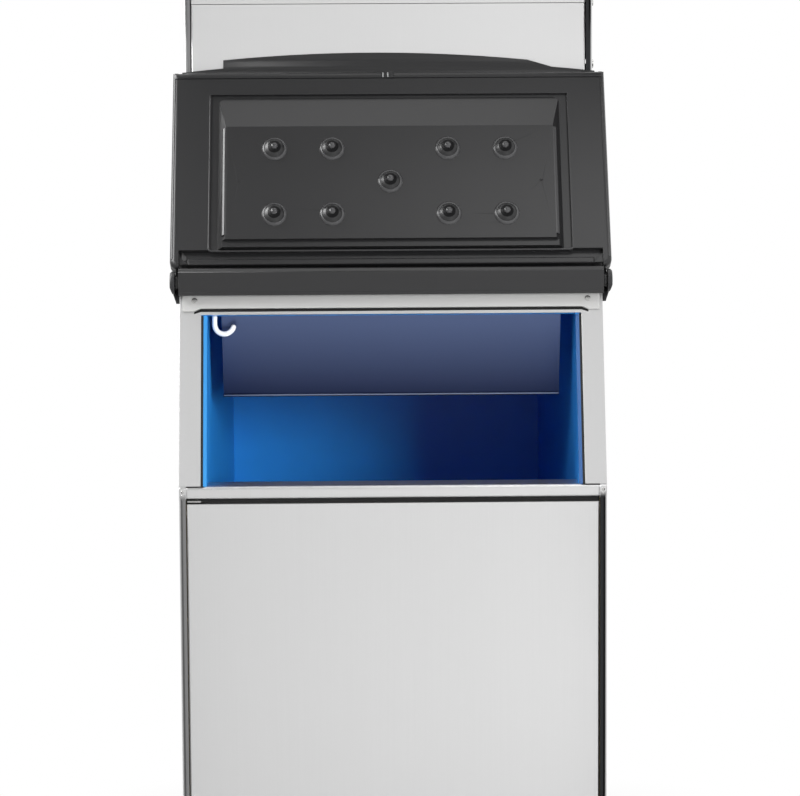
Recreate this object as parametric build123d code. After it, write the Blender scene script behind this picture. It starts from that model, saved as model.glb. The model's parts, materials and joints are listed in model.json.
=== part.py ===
from build123d import *
import os
from math import cos, radians, sin, sqrt, tan

os.makedirs("parts", exist_ok=True)

# Ice machine: a storage bin with a flip-up door, and an ice-making head standing on its deck.
# Sizes are in millimetres. X runs to the right, Y to the back, Z up from the floor.
# Depths are measured from the bin's front face, in the name "depth" or a point's first number.

# Cabinet
WIDTH = 560.0
BIN_DEPTH = 860.0
LEG_HEIGHT = 152.0
DECK_Z = 960.0
HEAD_DEPTH = 622.0
HEAD_HEIGHT = 546.0
SHEET = 1.2
RETURN_STRIP = 9.0
SEAM = 0.8
PANEL_RETURN = 12.0
EDGE_ROUND = 2.5
EDGE_ROLL = 5.5
CLEAR = 0.3
RUNNING = 0.05

# Bin front, sill and slanted opening
FRONT_PANEL_TOP = 660.0
PANEL_REVEAL = 6.0
SILL_Z = 682.0
SILL_HEIGHT = 16.6
SILL_INSET = 2.0
SILL_ROUND = 6.0
SLANT = 15.7
OPENING_HALF = WIDTH / 2 - 28.5
OPENING_TOP_Z = 904.0
FRAME_TOP_Z = 940.0
FRAME_RETURN = 14.0
SLOT_HEIGHT = 4.0
SLOT_HALF = OPENING_HALF + 0.5
TRIM_TOP_Z = 932.0
TRIM_STAND = 3.0
TRIM_HALF = WIDTH / 2 - 4.0
TRIM_SCREW_X = WIDTH / 2 - 20.0
TRIM_SCREW_RADIUS = 3.8
TRIM_SCREW_HEIGHT = 1.6

# Liner and insulation
LINER_HALF = OPENING_HALF - 7.5
LINER_WALL = 4.0
LINER_FLOOR_Z = 205.0
LINER_ROOF_Z = 930.0
LINER_FRONT_DEPTH = 54.0
LINER_BACK_DEPTH = BIN_DEPTH - 55.0
LINER_LIP_DEPTH = 4.0
BIN_DROP_HALF = LINER_HALF - 44.0
BIN_DROP_FRONT = 290.0
BIN_DROP_BACK = 640.0

# Hinge line and door
AXIS_Z = 946.5
AXIS_GAP = 8.3
DOOR_LEAN = 25.7
DOOR_HALF = WIDTH / 2 + 13.0
DOOR_FACE = AXIS_GAP - CLEAR
DOOR_SEAM = -4.0
DOOR_END = 18.0
DOOR_NOTCH = 24.4
DOOR_TOP = 307.3
DOOR_WALL = 3.0
DOOR_CORNER = 12.0
DOOR_EDGE = 7.0
SKIN_RADIUS = 800.0
SKIN_MIDDLE = 170.0
SKIN_BACK = -28.0
LIP_REACH = 343.0
LIP_CROWN = 332.0
LIP_END = 316.5
TAB_LEFT = (-226.0, 333.5)
TAB_PEAK = (-18.0, LIP_REACH)
TAB_RIGHT = (190.0, 332.3)
TAB_FOOT = (228.0, 321.0)
LIP_HALF = DOOR_HALF - 11.0
CORNER_SPUR = 4.0
GROOVE_V = 296.0
GROOVE = 1.6
CHANNEL_TOP = 43.3
CHANNEL_FLOOR = -1.5
BAR_TOP = 33.0
BAR_HALF = WIDTH / 2 - 10.0
BAR_FACE = 2.5
PLUG_START = 45.0
PLUG_STEP = 53.9
PLUG_SLOPE = 218.7
PLUG_END = 268.7
PLUG_LEDGE = 14.0
PLUG_TOP = 20.0
PLUG_HALF = OPENING_HALF - 32.0
PLUG_FOOT_HALF = OPENING_HALF - 21.5
MOAT_HALF = OPENING_HALF - 10.5
MOAT_END = 272.5
MOAT_FLOOR = 4.0
DOME_RADIUS = 17.0
DOME_RISE = 10.0
DOME_COLUMNS = (77.4, 154.4)
DOME_ROWS = (89.3, 185.1)
DOME_MIDDLE_V = 136.7
DOOR_SCREW_X = PLUG_HALF - 17.9
DOOR_SCREW_RADIUS = 2.2

# Hinge hardware
PIN_RADIUS = 4.0
ARM_RADIUS = 9.0
ARM_INNER = WIDTH / 2 + 1.5
ARM_OUTER = WIDTH / 2 + 5.5
EAR_INNER = WIDTH / 2 + 6.0
EAR_OUTER = WIDTH / 2 + 12.0
EAR_BOSS = 15.0
EAR_BEVEL = 2.0
EAR_TAIL = 28.0
HOOD_HALF = WIDTH / 2 + 0.5
HOOD_CHEEK = 3.5
HOOD_WALL = 3.0
HOOD_FRONT = 14.0
HOOD_LOW = 16.5
HOOD_HIGH = 18.9

# Things inside the bin
BAFFLE_HALF = LINER_HALF - 18.0
BAFFLE_TOP_DEPTH = 84.0
BAFFLE_LOW_DEPTH = 126.0
BAFFLE_LOW_Z = 792.0
BAFFLE_FLANGE = 25.0
HOOK_WIRE = 3.5
HOOK_X = 9.0 - LINER_HALF
HOOK_BEND = 9.0
HOOK_LOW_Z = 873.5
HOOK_DEPTH = 88.0
DRAIN_X = 150.0
DRAIN_DEPTH = BIN_DEPTH - 120.0
DRAIN_Z = 178.0
DRAIN_BORE = 12.1
DRAIN_SOCKET = 20.0
DRAIN_PIPE = 16.0
DRAIN_FLANGE = 26.0

# Legs and feet
LEG_X = WIDTH / 2 - 55.0
LEG_FRONT_DEPTH = 60.0
LEG_BACK_DEPTH = BIN_DEPTH - 60.0
LEG_PLATE = 84.0
LEG_TOP_RADIUS = 20.0
LEG_LOW_RADIUS = 16.0
LEG_LOW_Z = 40.0
STEM_RADIUS = 8.0
STEM_TOP_Z = 92.0
FOOT_RADIUS = 22.0
FOOT_HEIGHT = 12.0
FOOT_TRAVEL = 15.0

# Head: food zone on the left, machine zone on the right of the partition
HEAD_SPLIT_Z = 1319.6
HEAD_REVEAL = 8.0
TOP_FOLD = 12.0
PARTITION_X = 62.0
CHUTE_X = (-200.0, 20.0)
CHUTE_FRONT = 70.0
CHUTE_BACK = 160.0
CELL_PITCH = 24.0
CELL_WALL = 2.0
CELL_DEPTH = 20.0
CELL_COLUMNS = 10
CELL_ROWS = 12
PLATE_X = -95.0
PLATE_Z = 1130.0
PLATE_FRONT = 200.0
COIL_RADIUS = 4.8
COIL_PITCH = 36.0
COIL_END = 260.0
SUCTION_DEPTH = 280.0
SUCTION_Z = 1148.0
SUCTION_END = 84.0
LIQUID_DEPTH = 290.0
DISTRIBUTOR_Z = 1445.0
CHEEK = 6.0
CURTAIN_DEPTH = 165.0
CURTAIN_AXIS_Z = 1440.0
CURTAIN_LOW_Z = 1108.0
CURTAIN_PIN = 3.0
TROUGH_LOW_Z = 1010.0
TROUGH_TOP_Z = 1075.0
TROUGH_FRONT = 178.0
TROUGH_BACK = 330.0
PUMP_X = -165.0
PUMP_DEPTH = 292.0
FLOAT_X = -40.0
FLOAT_DEPTH = 292.0
FLOAT_STEM = 3.0
FLOAT_RADIUS = 16.0
FLOAT_LOW_Z = 1013.3
FLOAT_HEIGHT = 24.0
COMPRESSOR_X = 165.0
COMPRESSOR_DEPTH = 280.0
COMPRESSOR_RADIUS = 76.0
COMPRESSOR_LOW_Z = 992.0
COMPRESSOR_HEIGHT = 190.0
MOUNT_SPAN = 90.0
CONDENSER_X = (80.0, 264.0)
CONDENSER_Z = (990.0, 1262.0)
CONDENSER_FRONT = 470.0
CONDENSER_DEPTH = 44.0
FIN_PITCH = 8.0
FIN = 1.6
FAN_X = 172.0
FAN_Z = 1126.0
FAN_RADIUS = 78.0
FAN_RING = 84.0
FAN_BLADES = 5
SHROUD_DEPTH = 60.0
LOUVRE_PITCH = 16.0
LOUVRE_GAP = 6.0
OUTLET_RADIUS = 88.0
FITTING_X = -200.0
INLET_Z = 1052.0
OUTLET_X = -140.0
OUTLET_Z = 1026.0
GLAND_Z = 1420.0
GLAND_X = 200.0
FITTING_REACH = 12.0
STUB_RADIUS = 10.65
BOX_END_X = 262.0
BOX_Z = (1336.0, 1486.0)
BOX_DEPTH = 100.0
FASCIA_X = (70.0, 250.0)
FASCIA_Z = (1388.0, 1452.0)
ROCKER_X = 224.0
ROCKER_HALF = 8.0
ROCKER_SINK = 6.0
BUTTON_X = (150.0, 178.0)
BUTTON_RADIUS = 7.0
CONTROL_Z = 1420.0

# Values worked out from the sizes above
HALF = WIDTH / 2
HEAD_TOP_Z = DECK_Z + HEAD_HEIGHT
FLOOR_Z = LEG_HEIGHT + SHEET
CHASSIS_TOP = DECK_Z + 2 * SHEET
LIQUID_Z = SUCTION_Z + (CELL_ROWS * CELL_PITCH // COIL_PITCH - 1) * COIL_PITCH
PANEL_HALF = HALF - RETURN_STRIP - SEAM
slant = radians(SLANT)
lean = radians(DOOR_LEAN)


def slant_depth(z, behind=0.0):
    """Depth of the slanted opening plane at height z, or of a plane behind it."""
    return SILL_INSET + (z - SILL_Z) * tan(slant) + behind / cos(slant)


def up_slant(z):
    """Distance along the slanted plane from the sill to height z."""
    return (z - SILL_Z) / cos(slant)


def skin_w(v, inset=0.0):
    """Height of the door's crowned skin above its hinge plane, at distance v from the hinge."""
    return SKIN_BACK + SKIN_RADIUS - sqrt((SKIN_RADIUS - inset) ** 2 - (v - SKIN_MIDDLE) ** 2)


AXIS_DEPTH = slant_depth(AXIS_Z) - AXIS_GAP / cos(slant)
LIP_TIP_DEPTH = AXIS_DEPTH + LIP_REACH * sin(lean) - skin_w(LIP_REACH) * cos(lean)
HEAD_FRONT = LIP_TIP_DEPTH + CLEAR
HEAD_BACK = HEAD_FRONT + HEAD_DEPTH
DECK_FRONT = AXIS_DEPTH + DOOR_NOTCH

# Working planes. SIDE is seen from the right: depth and height. FACE is seen from the front.
FRONT_Y = -BIN_DEPTH / 2
SIDE = Plane(origin=(0, FRONT_Y, 0), x_dir=(0, 1, 0), z_dir=(1, 0, 0))
FACE = Plane(origin=(0, FRONT_Y, 0), x_dir=(1, 0, 0), z_dir=(0, -1, 0))
SLANTED = Plane(
    origin=(0, FRONT_Y + SILL_INSET, SILL_Z),
    x_dir=(1, 0, 0),
    z_dir=(0, -cos(slant), sin(slant)),
)
DOOR = Plane(
    origin=(0, FRONT_Y + AXIS_DEPTH, AXIS_Z),
    x_dir=(1, 0, 0),
    z_dir=(0, -cos(lean), sin(lean)),
)
DOOR_SIDE = Plane(
    origin=(0, FRONT_Y + AXIS_DEPTH, AXIS_Z),
    x_dir=(0, sin(lean), cos(lean)),
    z_dir=(1, 0, 0),
)


def outline(points, rounds=()):
    """A flat face from its corner points, with the corners in rounds given a radius."""
    face = make_face(Polyline(*points, close=True))
    for index, radius in rounds:
        corner = face.vertices().sort_by_distance((points[index][0], points[index][1], 0))[0]
        face = fillet(corner, radius)
    return face


def prism(plane, shape, low, high, rounds=()):
    """A face, or corner points, extruded from low to high along the plane's normal."""
    face = outline(shape, rounds) if isinstance(shape, (list, tuple)) else shape
    return extrude(plane.offset(low) * face, amount=high - low, dir=plane.z_dir)


def rectangle(x0, x1, y0, y1):
    return [(x0, y0), (x1, y0), (x1, y1), (x0, y1)]


def block(x0, x1, depth0, depth1, z0, z1):
    """A box between two depths, measured from the bin's front face."""
    corner = Pos(x0, FRONT_Y + depth0, z0)
    return corner * Box(x1 - x0, depth1 - depth0, z1 - z0, align=(Align.MIN,) * 3)


def upright(x, depth, z0, z1, radius, top_radius=None):
    """A vertical cylinder, or a cone where a top radius is given."""
    place = Pos(x, FRONT_Y + depth, z0)
    ends = (Align.CENTER, Align.CENTER, Align.MIN)
    if top_radius is None:
        return place * Cylinder(radius, z1 - z0, align=ends)
    return place * Cone(radius, top_radius, z1 - z0, align=ends)


def along_x(x0, x1, depth, z, radius):
    """A cylinder that runs from x0 to x1."""
    return extrude(SIDE.offset(x0) * Pos(depth, z) * Circle(radius), amount=x1 - x0)


def along_y(x, z, depth0, depth1, radius):
    """A cylinder that runs from the front to the back."""
    return extrude(FACE.offset(-depth1) * Pos(x, z) * Circle(radius), amount=depth1 - depth0)


def mirrored(shape):
    return mirror(shape, about=Plane.YZ)


def both_sides(shape):
    return shape + mirrored(shape)


def front_edges(tray, edge_depth):
    """Upright edges of a tray's outer face at its front, below any slanted part."""
    face = tray.faces().sort_by(Axis.X)[-1]
    near = FRONT_Y + edge_depth + 0.5
    return [e for e in face.edges() if e.center().Y < near and abs(e.tangent_at(0.5).Z) > 0.9]


def side_tray(profile, edge_depth):
    """A folded side panel with a return strip all round and a rolled front edge."""
    inner = offset(profile, amount=-SHEET, kind=Kind.INTERSECTION)
    tray = prism(SIDE, profile, HALF - RETURN_STRIP, HALF)
    tray = fillet(front_edges(tray, edge_depth), EDGE_ROLL)
    hollow = prism(SIDE, inner, HALF - RETURN_STRIP, HALF - SHEET)
    hollow = fillet(front_edges(hollow, edge_depth + SHEET), EDGE_ROLL - SHEET)
    return tray - hollow


def front_tray(half, depth, z0, z1):
    """A folded panel that faces the front, with returns on its four edges."""
    sheet = block(-half, half, depth, depth + PANEL_RETURN, z0, z1)
    upright_edges = sheet.edges().filter_by(Axis.Z).group_by(Axis.Y)[0]
    sheet = fillet(upright_edges, EDGE_ROUND)
    hollow = block(
        SHEET - half, half - SHEET, depth + SHEET, depth + PANEL_RETURN, z0 + SHEET, z1 - SHEET
    )
    return sheet - hollow


def tube(points, radius, bends):
    """A round tube or wire along straight runs joined by arcs."""
    path = FilletPolyline(*points, radius=bends)
    start = Plane(origin=path @ 0, z_dir=path % 0)
    return sweep(start * Circle(radius), path=path)


def place(x, depth, z):
    return (x, FRONT_Y + depth, z)


parts = {}


# Bin cabinet

def bin_profile():
    """Side view of the cabinet: upright front, slanted opening, short hood slope, flat top."""
    points = [
        (0, FLOOR_Z),
        (0, SILL_Z - SILL_HEIGHT - SHEET),
        (slant_depth(SILL_Z, SHEET), SILL_Z),
        (slant_depth(FRAME_TOP_Z, SHEET), FRAME_TOP_Z),
        (DECK_FRONT, DECK_Z - SHEET),
        (BIN_DEPTH, DECK_Z - SHEET),
        (BIN_DEPTH, FLOOR_Z),
    ]
    return outline(points)


def liner_profile(grow):
    """Side view of the liner, its inner face when grow is 0 and its outer face at the wall."""
    front = LINER_LIP_DEPTH + LINER_WALL - grow
    ledge_z = SILL_Z - grow
    roof_z = LINER_ROOF_Z + grow
    points = [
        (LINER_FRONT_DEPTH - grow, LINER_FLOOR_Z - grow),
        (LINER_FRONT_DEPTH - grow, ledge_z),
        (slant_depth(ledge_z, front), ledge_z),
        (slant_depth(roof_z, front), roof_z),
        (LINER_BACK_DEPTH + grow, roof_z),
        (LINER_BACK_DEPTH + grow, LINER_FLOOR_Z - grow),
    ]
    corner = 30.0 + grow
    return outline(points, rounds=((4, corner), (5, corner)))


def drop_hole(grow, z0, z1):
    """The opening that lets ice fall from the head into the bin."""
    return block(
        -BIN_DROP_HALF - grow,
        BIN_DROP_HALF + grow,
        BIN_DROP_FRONT - grow,
        BIN_DROP_BACK + grow,
        z0,
        z1,
    )


def opening_points(grow=0.0):
    return rectangle(
        -OPENING_HALF - grow, OPENING_HALF + grow, -10, up_slant(OPENING_TOP_Z) + grow
    )


def drain_outer(grow=0.0):
    """Outer form of the floor drain: a dished flange, a drop pipe and a rear socket."""
    pipe = DRAIN_PIPE + grow
    drop = upright(DRAIN_X, DRAIN_DEPTH, DRAIN_Z, LINER_FLOOR_Z, pipe)
    elbow = Pos(*place(DRAIN_X, DRAIN_DEPTH, DRAIN_Z)) * Sphere(pipe)
    back = along_y(DRAIN_X, DRAIN_Z, DRAIN_DEPTH, BIN_DEPTH, pipe)
    socket = along_y(DRAIN_X, DRAIN_Z, BIN_DEPTH - DRAIN_SOCKET - 6, BIN_DEPTH, pipe + 4)
    return drop + elbow + back + socket


side = side_tray(bin_profile(), 0)
parts["bin_side_right"] = side
parts["bin_side_left"] = mirrored(side)
parts["bin_front_panel"] = front_tray(PANEL_HALF, 0, FLOOR_Z + PANEL_REVEAL, FRONT_PANEL_TOP)

back_low = FLOOR_Z + PANEL_REVEAL
back_high = DECK_Z - SHEET - PANEL_REVEAL
back_sheet = block(
    -PANEL_HALF, PANEL_HALF, BIN_DEPTH - SHEET, BIN_DEPTH, back_low, back_high
)
parts["bin_back_panel"] = back_sheet - drain_outer(CLEAR)
parts["bin_base_pan"] = block(-HALF, HALF, 0, BIN_DEPTH, LEG_HEIGHT, FLOOR_Z)

deck = block(-HALF, HALF, DECK_FRONT, BIN_DEPTH, DECK_Z - SHEET, DECK_Z)
deck += block(
    -PANEL_HALF, PANEL_HALF, DECK_FRONT, DECK_FRONT + SHEET, FRAME_TOP_Z + 4, DECK_Z
)
parts["bin_top_deck"] = deck - drop_hole(0, DECK_Z - SHEET, DECK_Z)


# Stainless parts round the opening

def opening_frame():
    plate = prism(SLANTED, rectangle(-HALF, HALF, 0, up_slant(FRAME_TOP_Z)), -SHEET, 0)
    plate -= prism(SLANTED, opening_points(), -SHEET, 0)
    rim = prism(SLANTED, opening_points(SHEET), -FRAME_RETURN, 0)
    rim -= prism(SLANTED, opening_points(), -FRAME_RETURN, 0)
    head_zone = rectangle(-HALF, HALF, up_slant(OPENING_TOP_Z) - 8, up_slant(FRAME_TOP_Z))
    rim -= prism(SLANTED, head_zone, -FRAME_RETURN, -LINER_LIP_DEPTH)
    top = up_slant(OPENING_TOP_Z) + SLOT_HEIGHT
    slot = [
        (-SLOT_HALF, top + SLOT_HEIGHT),
        (-SLOT_HALF - 9, top),
        (-SLOT_HALF - 9, top - 3),
        (-SLOT_HALF, top),
        (SLOT_HALF, top),
        (SLOT_HALF + 9, top - 3),
        (SLOT_HALF + 9, top),
        (SLOT_HALF, top + SLOT_HEIGHT),
    ]
    frame = plate + rim - prism(SLANTED, slot, -SHEET, 0)
    return frame - block(-HALF, HALF, -9, LINER_FRONT_DEPTH, SILL_Z - 20, SILL_Z + SHEET)


def header_trim():
    low = up_slant(OPENING_TOP_Z) + 2 * SLOT_HEIGHT
    high = up_slant(TRIM_TOP_Z)
    points = [
        (-SLOT_HALF, low),
        (SLOT_HALF, low),
        (SLOT_HALF + 9, low - SLOT_HEIGHT),
        (TRIM_HALF, low - SLOT_HEIGHT),
        (TRIM_HALF, high),
        (-TRIM_HALF, high),
        (-TRIM_HALF, low - SLOT_HEIGHT),
        (-SLOT_HALF - 9, low - SLOT_HEIGHT),
    ]
    return prism(SLANTED, points, 0, TRIM_STAND)


def trim_screw(x):
    across = up_slant((OPENING_TOP_Z + TRIM_TOP_Z) / 2) + 2 * SLOT_HEIGHT / 2
    spot = SLANTED.offset(TRIM_STAND) * Pos(x, across)
    head = extrude(spot * Circle(TRIM_SCREW_RADIUS), amount=TRIM_SCREW_HEIGHT)
    head = fillet(head.edges().sort_by_distance(head.center())[-1:], TRIM_SCREW_HEIGHT / 2)
    drive = spot * Pos(0, 0, TRIM_SCREW_HEIGHT) * Box(4.4, 1.0, 1.4)
    return head - drive


def sill():
    front = SILL_INSET
    low = SILL_Z - SILL_HEIGHT + SHEET
    high = SILL_Z + SHEET
    back = LINER_FRONT_DEPTH + SHEET
    outer = outline(
        [(front, low), (front, high), (back, high), (back, low)],
        rounds=((0, SILL_ROUND / 2), (1, SILL_ROUND), (2, SILL_ROUND / 2)),
    )
    inner = offset(outer, amount=-SHEET, kind=Kind.INTERSECTION)
    half = HALF - RETURN_STRIP
    nose = prism(SIDE, outer, -half, half) - prism(SIDE, inner, -half, half)
    under = block(-half, half, front + 8, back, low - 1, low + SHEET)
    tail = block(-half, half, LINER_FRONT_DEPTH - 2, back, low - 1, SILL_Z - 10)
    wings = block(LINER_HALF, half, front + 8, back, low - 1, SILL_Z)
    step = block(LINER_HALF, half, slant_depth(SILL_Z) + FRAME_RETURN, back, SILL_Z - 1, high)
    return nose - under - tail - both_sides(wings) - both_sides(step)


parts["opening_frame"] = opening_frame()
parts["header_trim"] = header_trim()
parts["bin_sill"] = sill()


def trim_seals():
    """Dark rubber strips that close the slot under the header and the gap under the sill."""
    low = up_slant(OPENING_TOP_Z) + 1.5
    strip = rectangle(-SLOT_HALF - 12, SLOT_HALF + 12, low, low + 2 * SLOT_HEIGHT)
    header_seal = prism(SLANTED, strip, -LINER_LIP_DEPTH, -SHEET)
    top = SILL_Z - SILL_HEIGHT + SHEET
    sill_seal = block(-PANEL_HALF, PANEL_HALF, SILL_INSET + 5, SILL_INSET + 8, FRONT_PANEL_TOP, top)
    return Compound([header_seal, sill_seal])


parts["trim_seals"] = trim_seals()


# Blue liner with its lip behind the opening

def liner():
    body = prism(SIDE, liner_profile(LINER_WALL), -LINER_HALF - LINER_WALL, LINER_HALF + LINER_WALL)
    lip_low = up_slant(SILL_Z)
    lip_high = up_slant(OPENING_TOP_Z)
    lip_points = rectangle(-OPENING_HALF, OPENING_HALF, lip_low, lip_high)
    body += prism(SLANTED, lip_points, -LINER_LIP_DEPTH - LINER_WALL, -LINER_LIP_DEPTH)
    body -= prism(SIDE, liner_profile(0), -LINER_HALF, LINER_HALF)
    mouth = rectangle(-LINER_HALF, LINER_HALF, lip_low, lip_high)
    body -= prism(SLANTED, mouth, -FRAME_RETURN, SHEET)
    collar = drop_hole(LINER_WALL, LINER_ROOF_Z, DECK_Z - SHEET)
    body += collar
    body -= drop_hole(0, LINER_ROOF_Z, DECK_Z)
    return body - drain_outer() - parts["bin_sill"]


parts["bin_liner"] = liner()


# Hood strip, ears and pins along the hinge line

def at_axis(points):
    return [(AXIS_DEPTH + d, AXIS_Z + z) for d, z in points]


def hood():
    wall = HOOD_WALL
    strip = at_axis([
        (-HOOD_FRONT - 0.8, -HOOD_LOW),
        (-HOOD_FRONT - 0.8, -HOOD_LOW + 3.6),
        (-HOOD_FRONT, -HOOD_LOW + 4.6),
        (-HOOD_FRONT, HOOD_HIGH - 4.4),
        (-HOOD_FRONT + 5, HOOD_HIGH),
        (12, HOOD_HIGH),
        (18, HOOD_HIGH - 4.4),
        (18, 5),
        (18 - wall, 5),
        (18 - wall, HOOD_HIGH - 5.9),
        (11, HOOD_HIGH - wall),
        (-HOOD_FRONT + 6.2, HOOD_HIGH - wall),
        (-HOOD_FRONT + wall, HOOD_HIGH - 5.7),
        (-HOOD_FRONT + wall, -HOOD_LOW + wall),
        (0.5, -HOOD_LOW + wall),
        (0.5, -HOOD_LOW),
    ])
    cheek = at_axis([
        (-HOOD_FRONT, -HOOD_LOW),
        (-HOOD_FRONT, HOOD_HIGH - 4.4),
        (-HOOD_FRONT + 5, HOOD_HIGH),
        (12, HOOD_HIGH),
        (18, HOOD_HIGH - 4.4),
        (18, 5),
        (15, 5),
        (5, -5),
        (4.5, -10),
        (0.5, -HOOD_LOW),
    ])
    corners = ((0, 0.8), (3, 2.5), (4, 3.5), (5, 3.0), (6, 3.0))
    body = prism(SIDE, strip, -HOOD_HALF, HOOD_HALF, rounds=corners)
    end = prism(SIDE, cheek, HOOD_HALF - HOOD_CHEEK, HOOD_HALF, rounds=((1, 2.5), (2, 3.5)))
    body += both_sides(end)
    return body - along_x(-HALF - 5, HALF + 5, AXIS_DEPTH, AXIS_Z, PIN_RADIUS)


def ear():
    """Right hinge bracket: a boss round the pin and a foot on the cabinet's side."""
    foot = at_axis([
        (2, -EAR_TAIL),
        (30, -EAR_TAIL),
        (34, -EAR_TAIL + 6),
        (34, -8),
        (12.5, -8),
    ])
    cover = at_axis([
        (5, -14),
        (4.6, -18),
        (2, -EAR_TAIL),
        (30, -EAR_TAIL),
        (34, -EAR_TAIL + 6),
        (34, -8),
        (12, 9),
    ])
    body = prism(SIDE, foot, HALF, EAR_INNER)
    body += prism(SIDE, cover, EAR_INNER, EAR_OUTER)
    body += along_x(EAR_INNER, EAR_OUTER - EAR_BEVEL, AXIS_DEPTH, AXIS_Z, EAR_BOSS)
    middle = Pos((EAR_OUTER - EAR_BEVEL / 2), FRONT_Y + AXIS_DEPTH, AXIS_Z) * Rot(0, 90, 0)
    body += middle * Cone(EAR_BOSS, EAR_BOSS - EAR_BEVEL, EAR_BEVEL)
    taper = [
        (EAR_OUTER, AXIS_Z - 6),
        (EAR_OUTER + 1, AXIS_Z - EAR_TAIL - 1),
        (HALF + 4, AXIS_Z - EAR_TAIL - 1),
    ]
    body -= prism(FACE, taper, -AXIS_DEPTH - 50, 0)
    return body - along_x(HALF, EAR_OUTER - 1, AXIS_DEPTH, AXIS_Z, PIN_RADIUS)


bracket = ear()
parts["hinge_hood"] = hood()
parts["hinge_bracket_right"] = bracket
parts["hinge_bracket_left"] = mirrored(bracket)
pin = along_x(HOOD_HALF - HOOD_CHEEK, EAR_OUTER - 1, AXIS_DEPTH, AXIS_Z, PIN_RADIUS)
parts["hinge_pins"] = both_sides(pin)


SCREW_PAIR = (-DOOR_SCREW_X, DOOR_SCREW_X)


# Door: v runs from the hinge to the free edge, w stands out of the inner face

def crowned(v0, v1, inset, w_top):
    """Side view of the door between its curved skin and a flat seam."""
    middle = (v0 + v1) / 2
    arc = ThreePointArc(
        (v0, skin_w(v0, inset)), (middle, skin_w(middle, inset)), (v1, skin_w(v1, inset))
    )
    rest = Polyline((v1, skin_w(v1, inset)), (v1, w_top), (v0, w_top), (v0, skin_w(v0, inset)))
    return make_face(Curve([*arc.edges(), *rest.edges()]))


def door_outline(grow=0.0, v0=DOOR_END, v1=DOOR_TOP):
    half = DOOR_HALF + grow
    return outline(rectangle(-half, half, v0, v1), rounds=((0, DOOR_CORNER), (1, DOOR_CORNER)))


def notch():
    """Space that the hood strip needs at the door's hinge end."""
    points = rectangle(-ARM_INNER + CLEAR, ARM_INNER - CLEAR, 0, DOOR_NOTCH)
    return prism(DOOR, points, SKIN_BACK, DOOR_FACE + 1)


def lip_outline():
    """The free edge: a shallow crescent with a raised tab for the fingers."""
    crescent = ThreePointArc((-LIP_HALF, LIP_END), (0, LIP_CROWN), (LIP_HALF, LIP_END))
    low = DOOR_TOP - 1
    base = Polyline((LIP_HALF, LIP_END), (LIP_HALF, low), (-LIP_HALF, low), (-LIP_HALF, LIP_END))
    grip = ThreePointArc(TAB_LEFT, TAB_PEAK, TAB_RIGHT)
    sides = Polyline(TAB_RIGHT, TAB_FOOT, (TAB_FOOT[0], low), (TAB_LEFT[0], low), TAB_LEFT)
    crescent_face = make_face(Curve([*crescent.edges(), *base.edges()]))
    return crescent_face + make_face(Curve([*grip.edges(), *sides.edges()]))


def lip():
    """The lip follows the skin's own curve beyond the free edge, one wall thick."""
    flat = prism(DOOR, lip_outline(), SKIN_BACK, DOOR_FACE)
    low = DOOR_TOP - 1
    outer = prism(DOOR_SIDE, crowned(low, LIP_REACH + 1, 0, DOOR_FACE), -LIP_HALF, LIP_HALF)
    inner = crowned(low, LIP_REACH + 1, DOOR_WALL, DOOR_FACE)
    return (flat & outer) - prism(DOOR_SIDE, inner, -LIP_HALF, LIP_HALF)


def hinge_arm():
    root = outline(
        [(0, -ARM_RADIUS), (22, -14), (22, DOOR_SEAM), (DOOR_END, DOOR_SEAM), (0, ARM_RADIUS)]
    )
    arm = prism(DOOR_SIDE, root + Circle(ARM_RADIUS), ARM_INNER, ARM_OUTER)
    bore = Circle(PIN_RADIUS + RUNNING)
    return arm - prism(DOOR_SIDE, bore, ARM_INNER, ARM_OUTER)


def outer_shell():
    wall = DOOR_WALL
    form = prism(DOOR_SIDE, crowned(DOOR_END, DOOR_TOP, 0, DOOR_SEAM), -DOOR_HALF, DOOR_HALF)
    form &= prism(DOOR, door_outline(), SKIN_BACK - 1, DOOR_SEAM)
    form -= notch()
    inside = crowned(DOOR_NOTCH + wall, DOOR_TOP - wall, wall, DOOR_SEAM)
    shell = form - prism(DOOR_SIDE, inside, wall - DOOR_HALF, DOOR_HALF - wall)
    shell += lip()
    spur = rectangle(DOOR_HALF - 8, DOOR_HALF, DOOR_TOP - 6, DOOR_TOP + CORNER_SPUR)
    shell += both_sides(prism(DOOR, spur, DOOR_SEAM - 10, DOOR_SEAM, rounds=((2, 2.5), (3, 2.5))))
    bar = prism(DOOR, rectangle(-BAR_HALF, BAR_HALF, DOOR_NOTCH, BAR_TOP), DOOR_SEAM, BAR_FACE)
    bar = fillet(bar.faces().sort_by(DOOR_AXIS)[-1].edges(), 2.0)
    shell += bar
    return shell + both_sides(hinge_arm())


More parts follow.
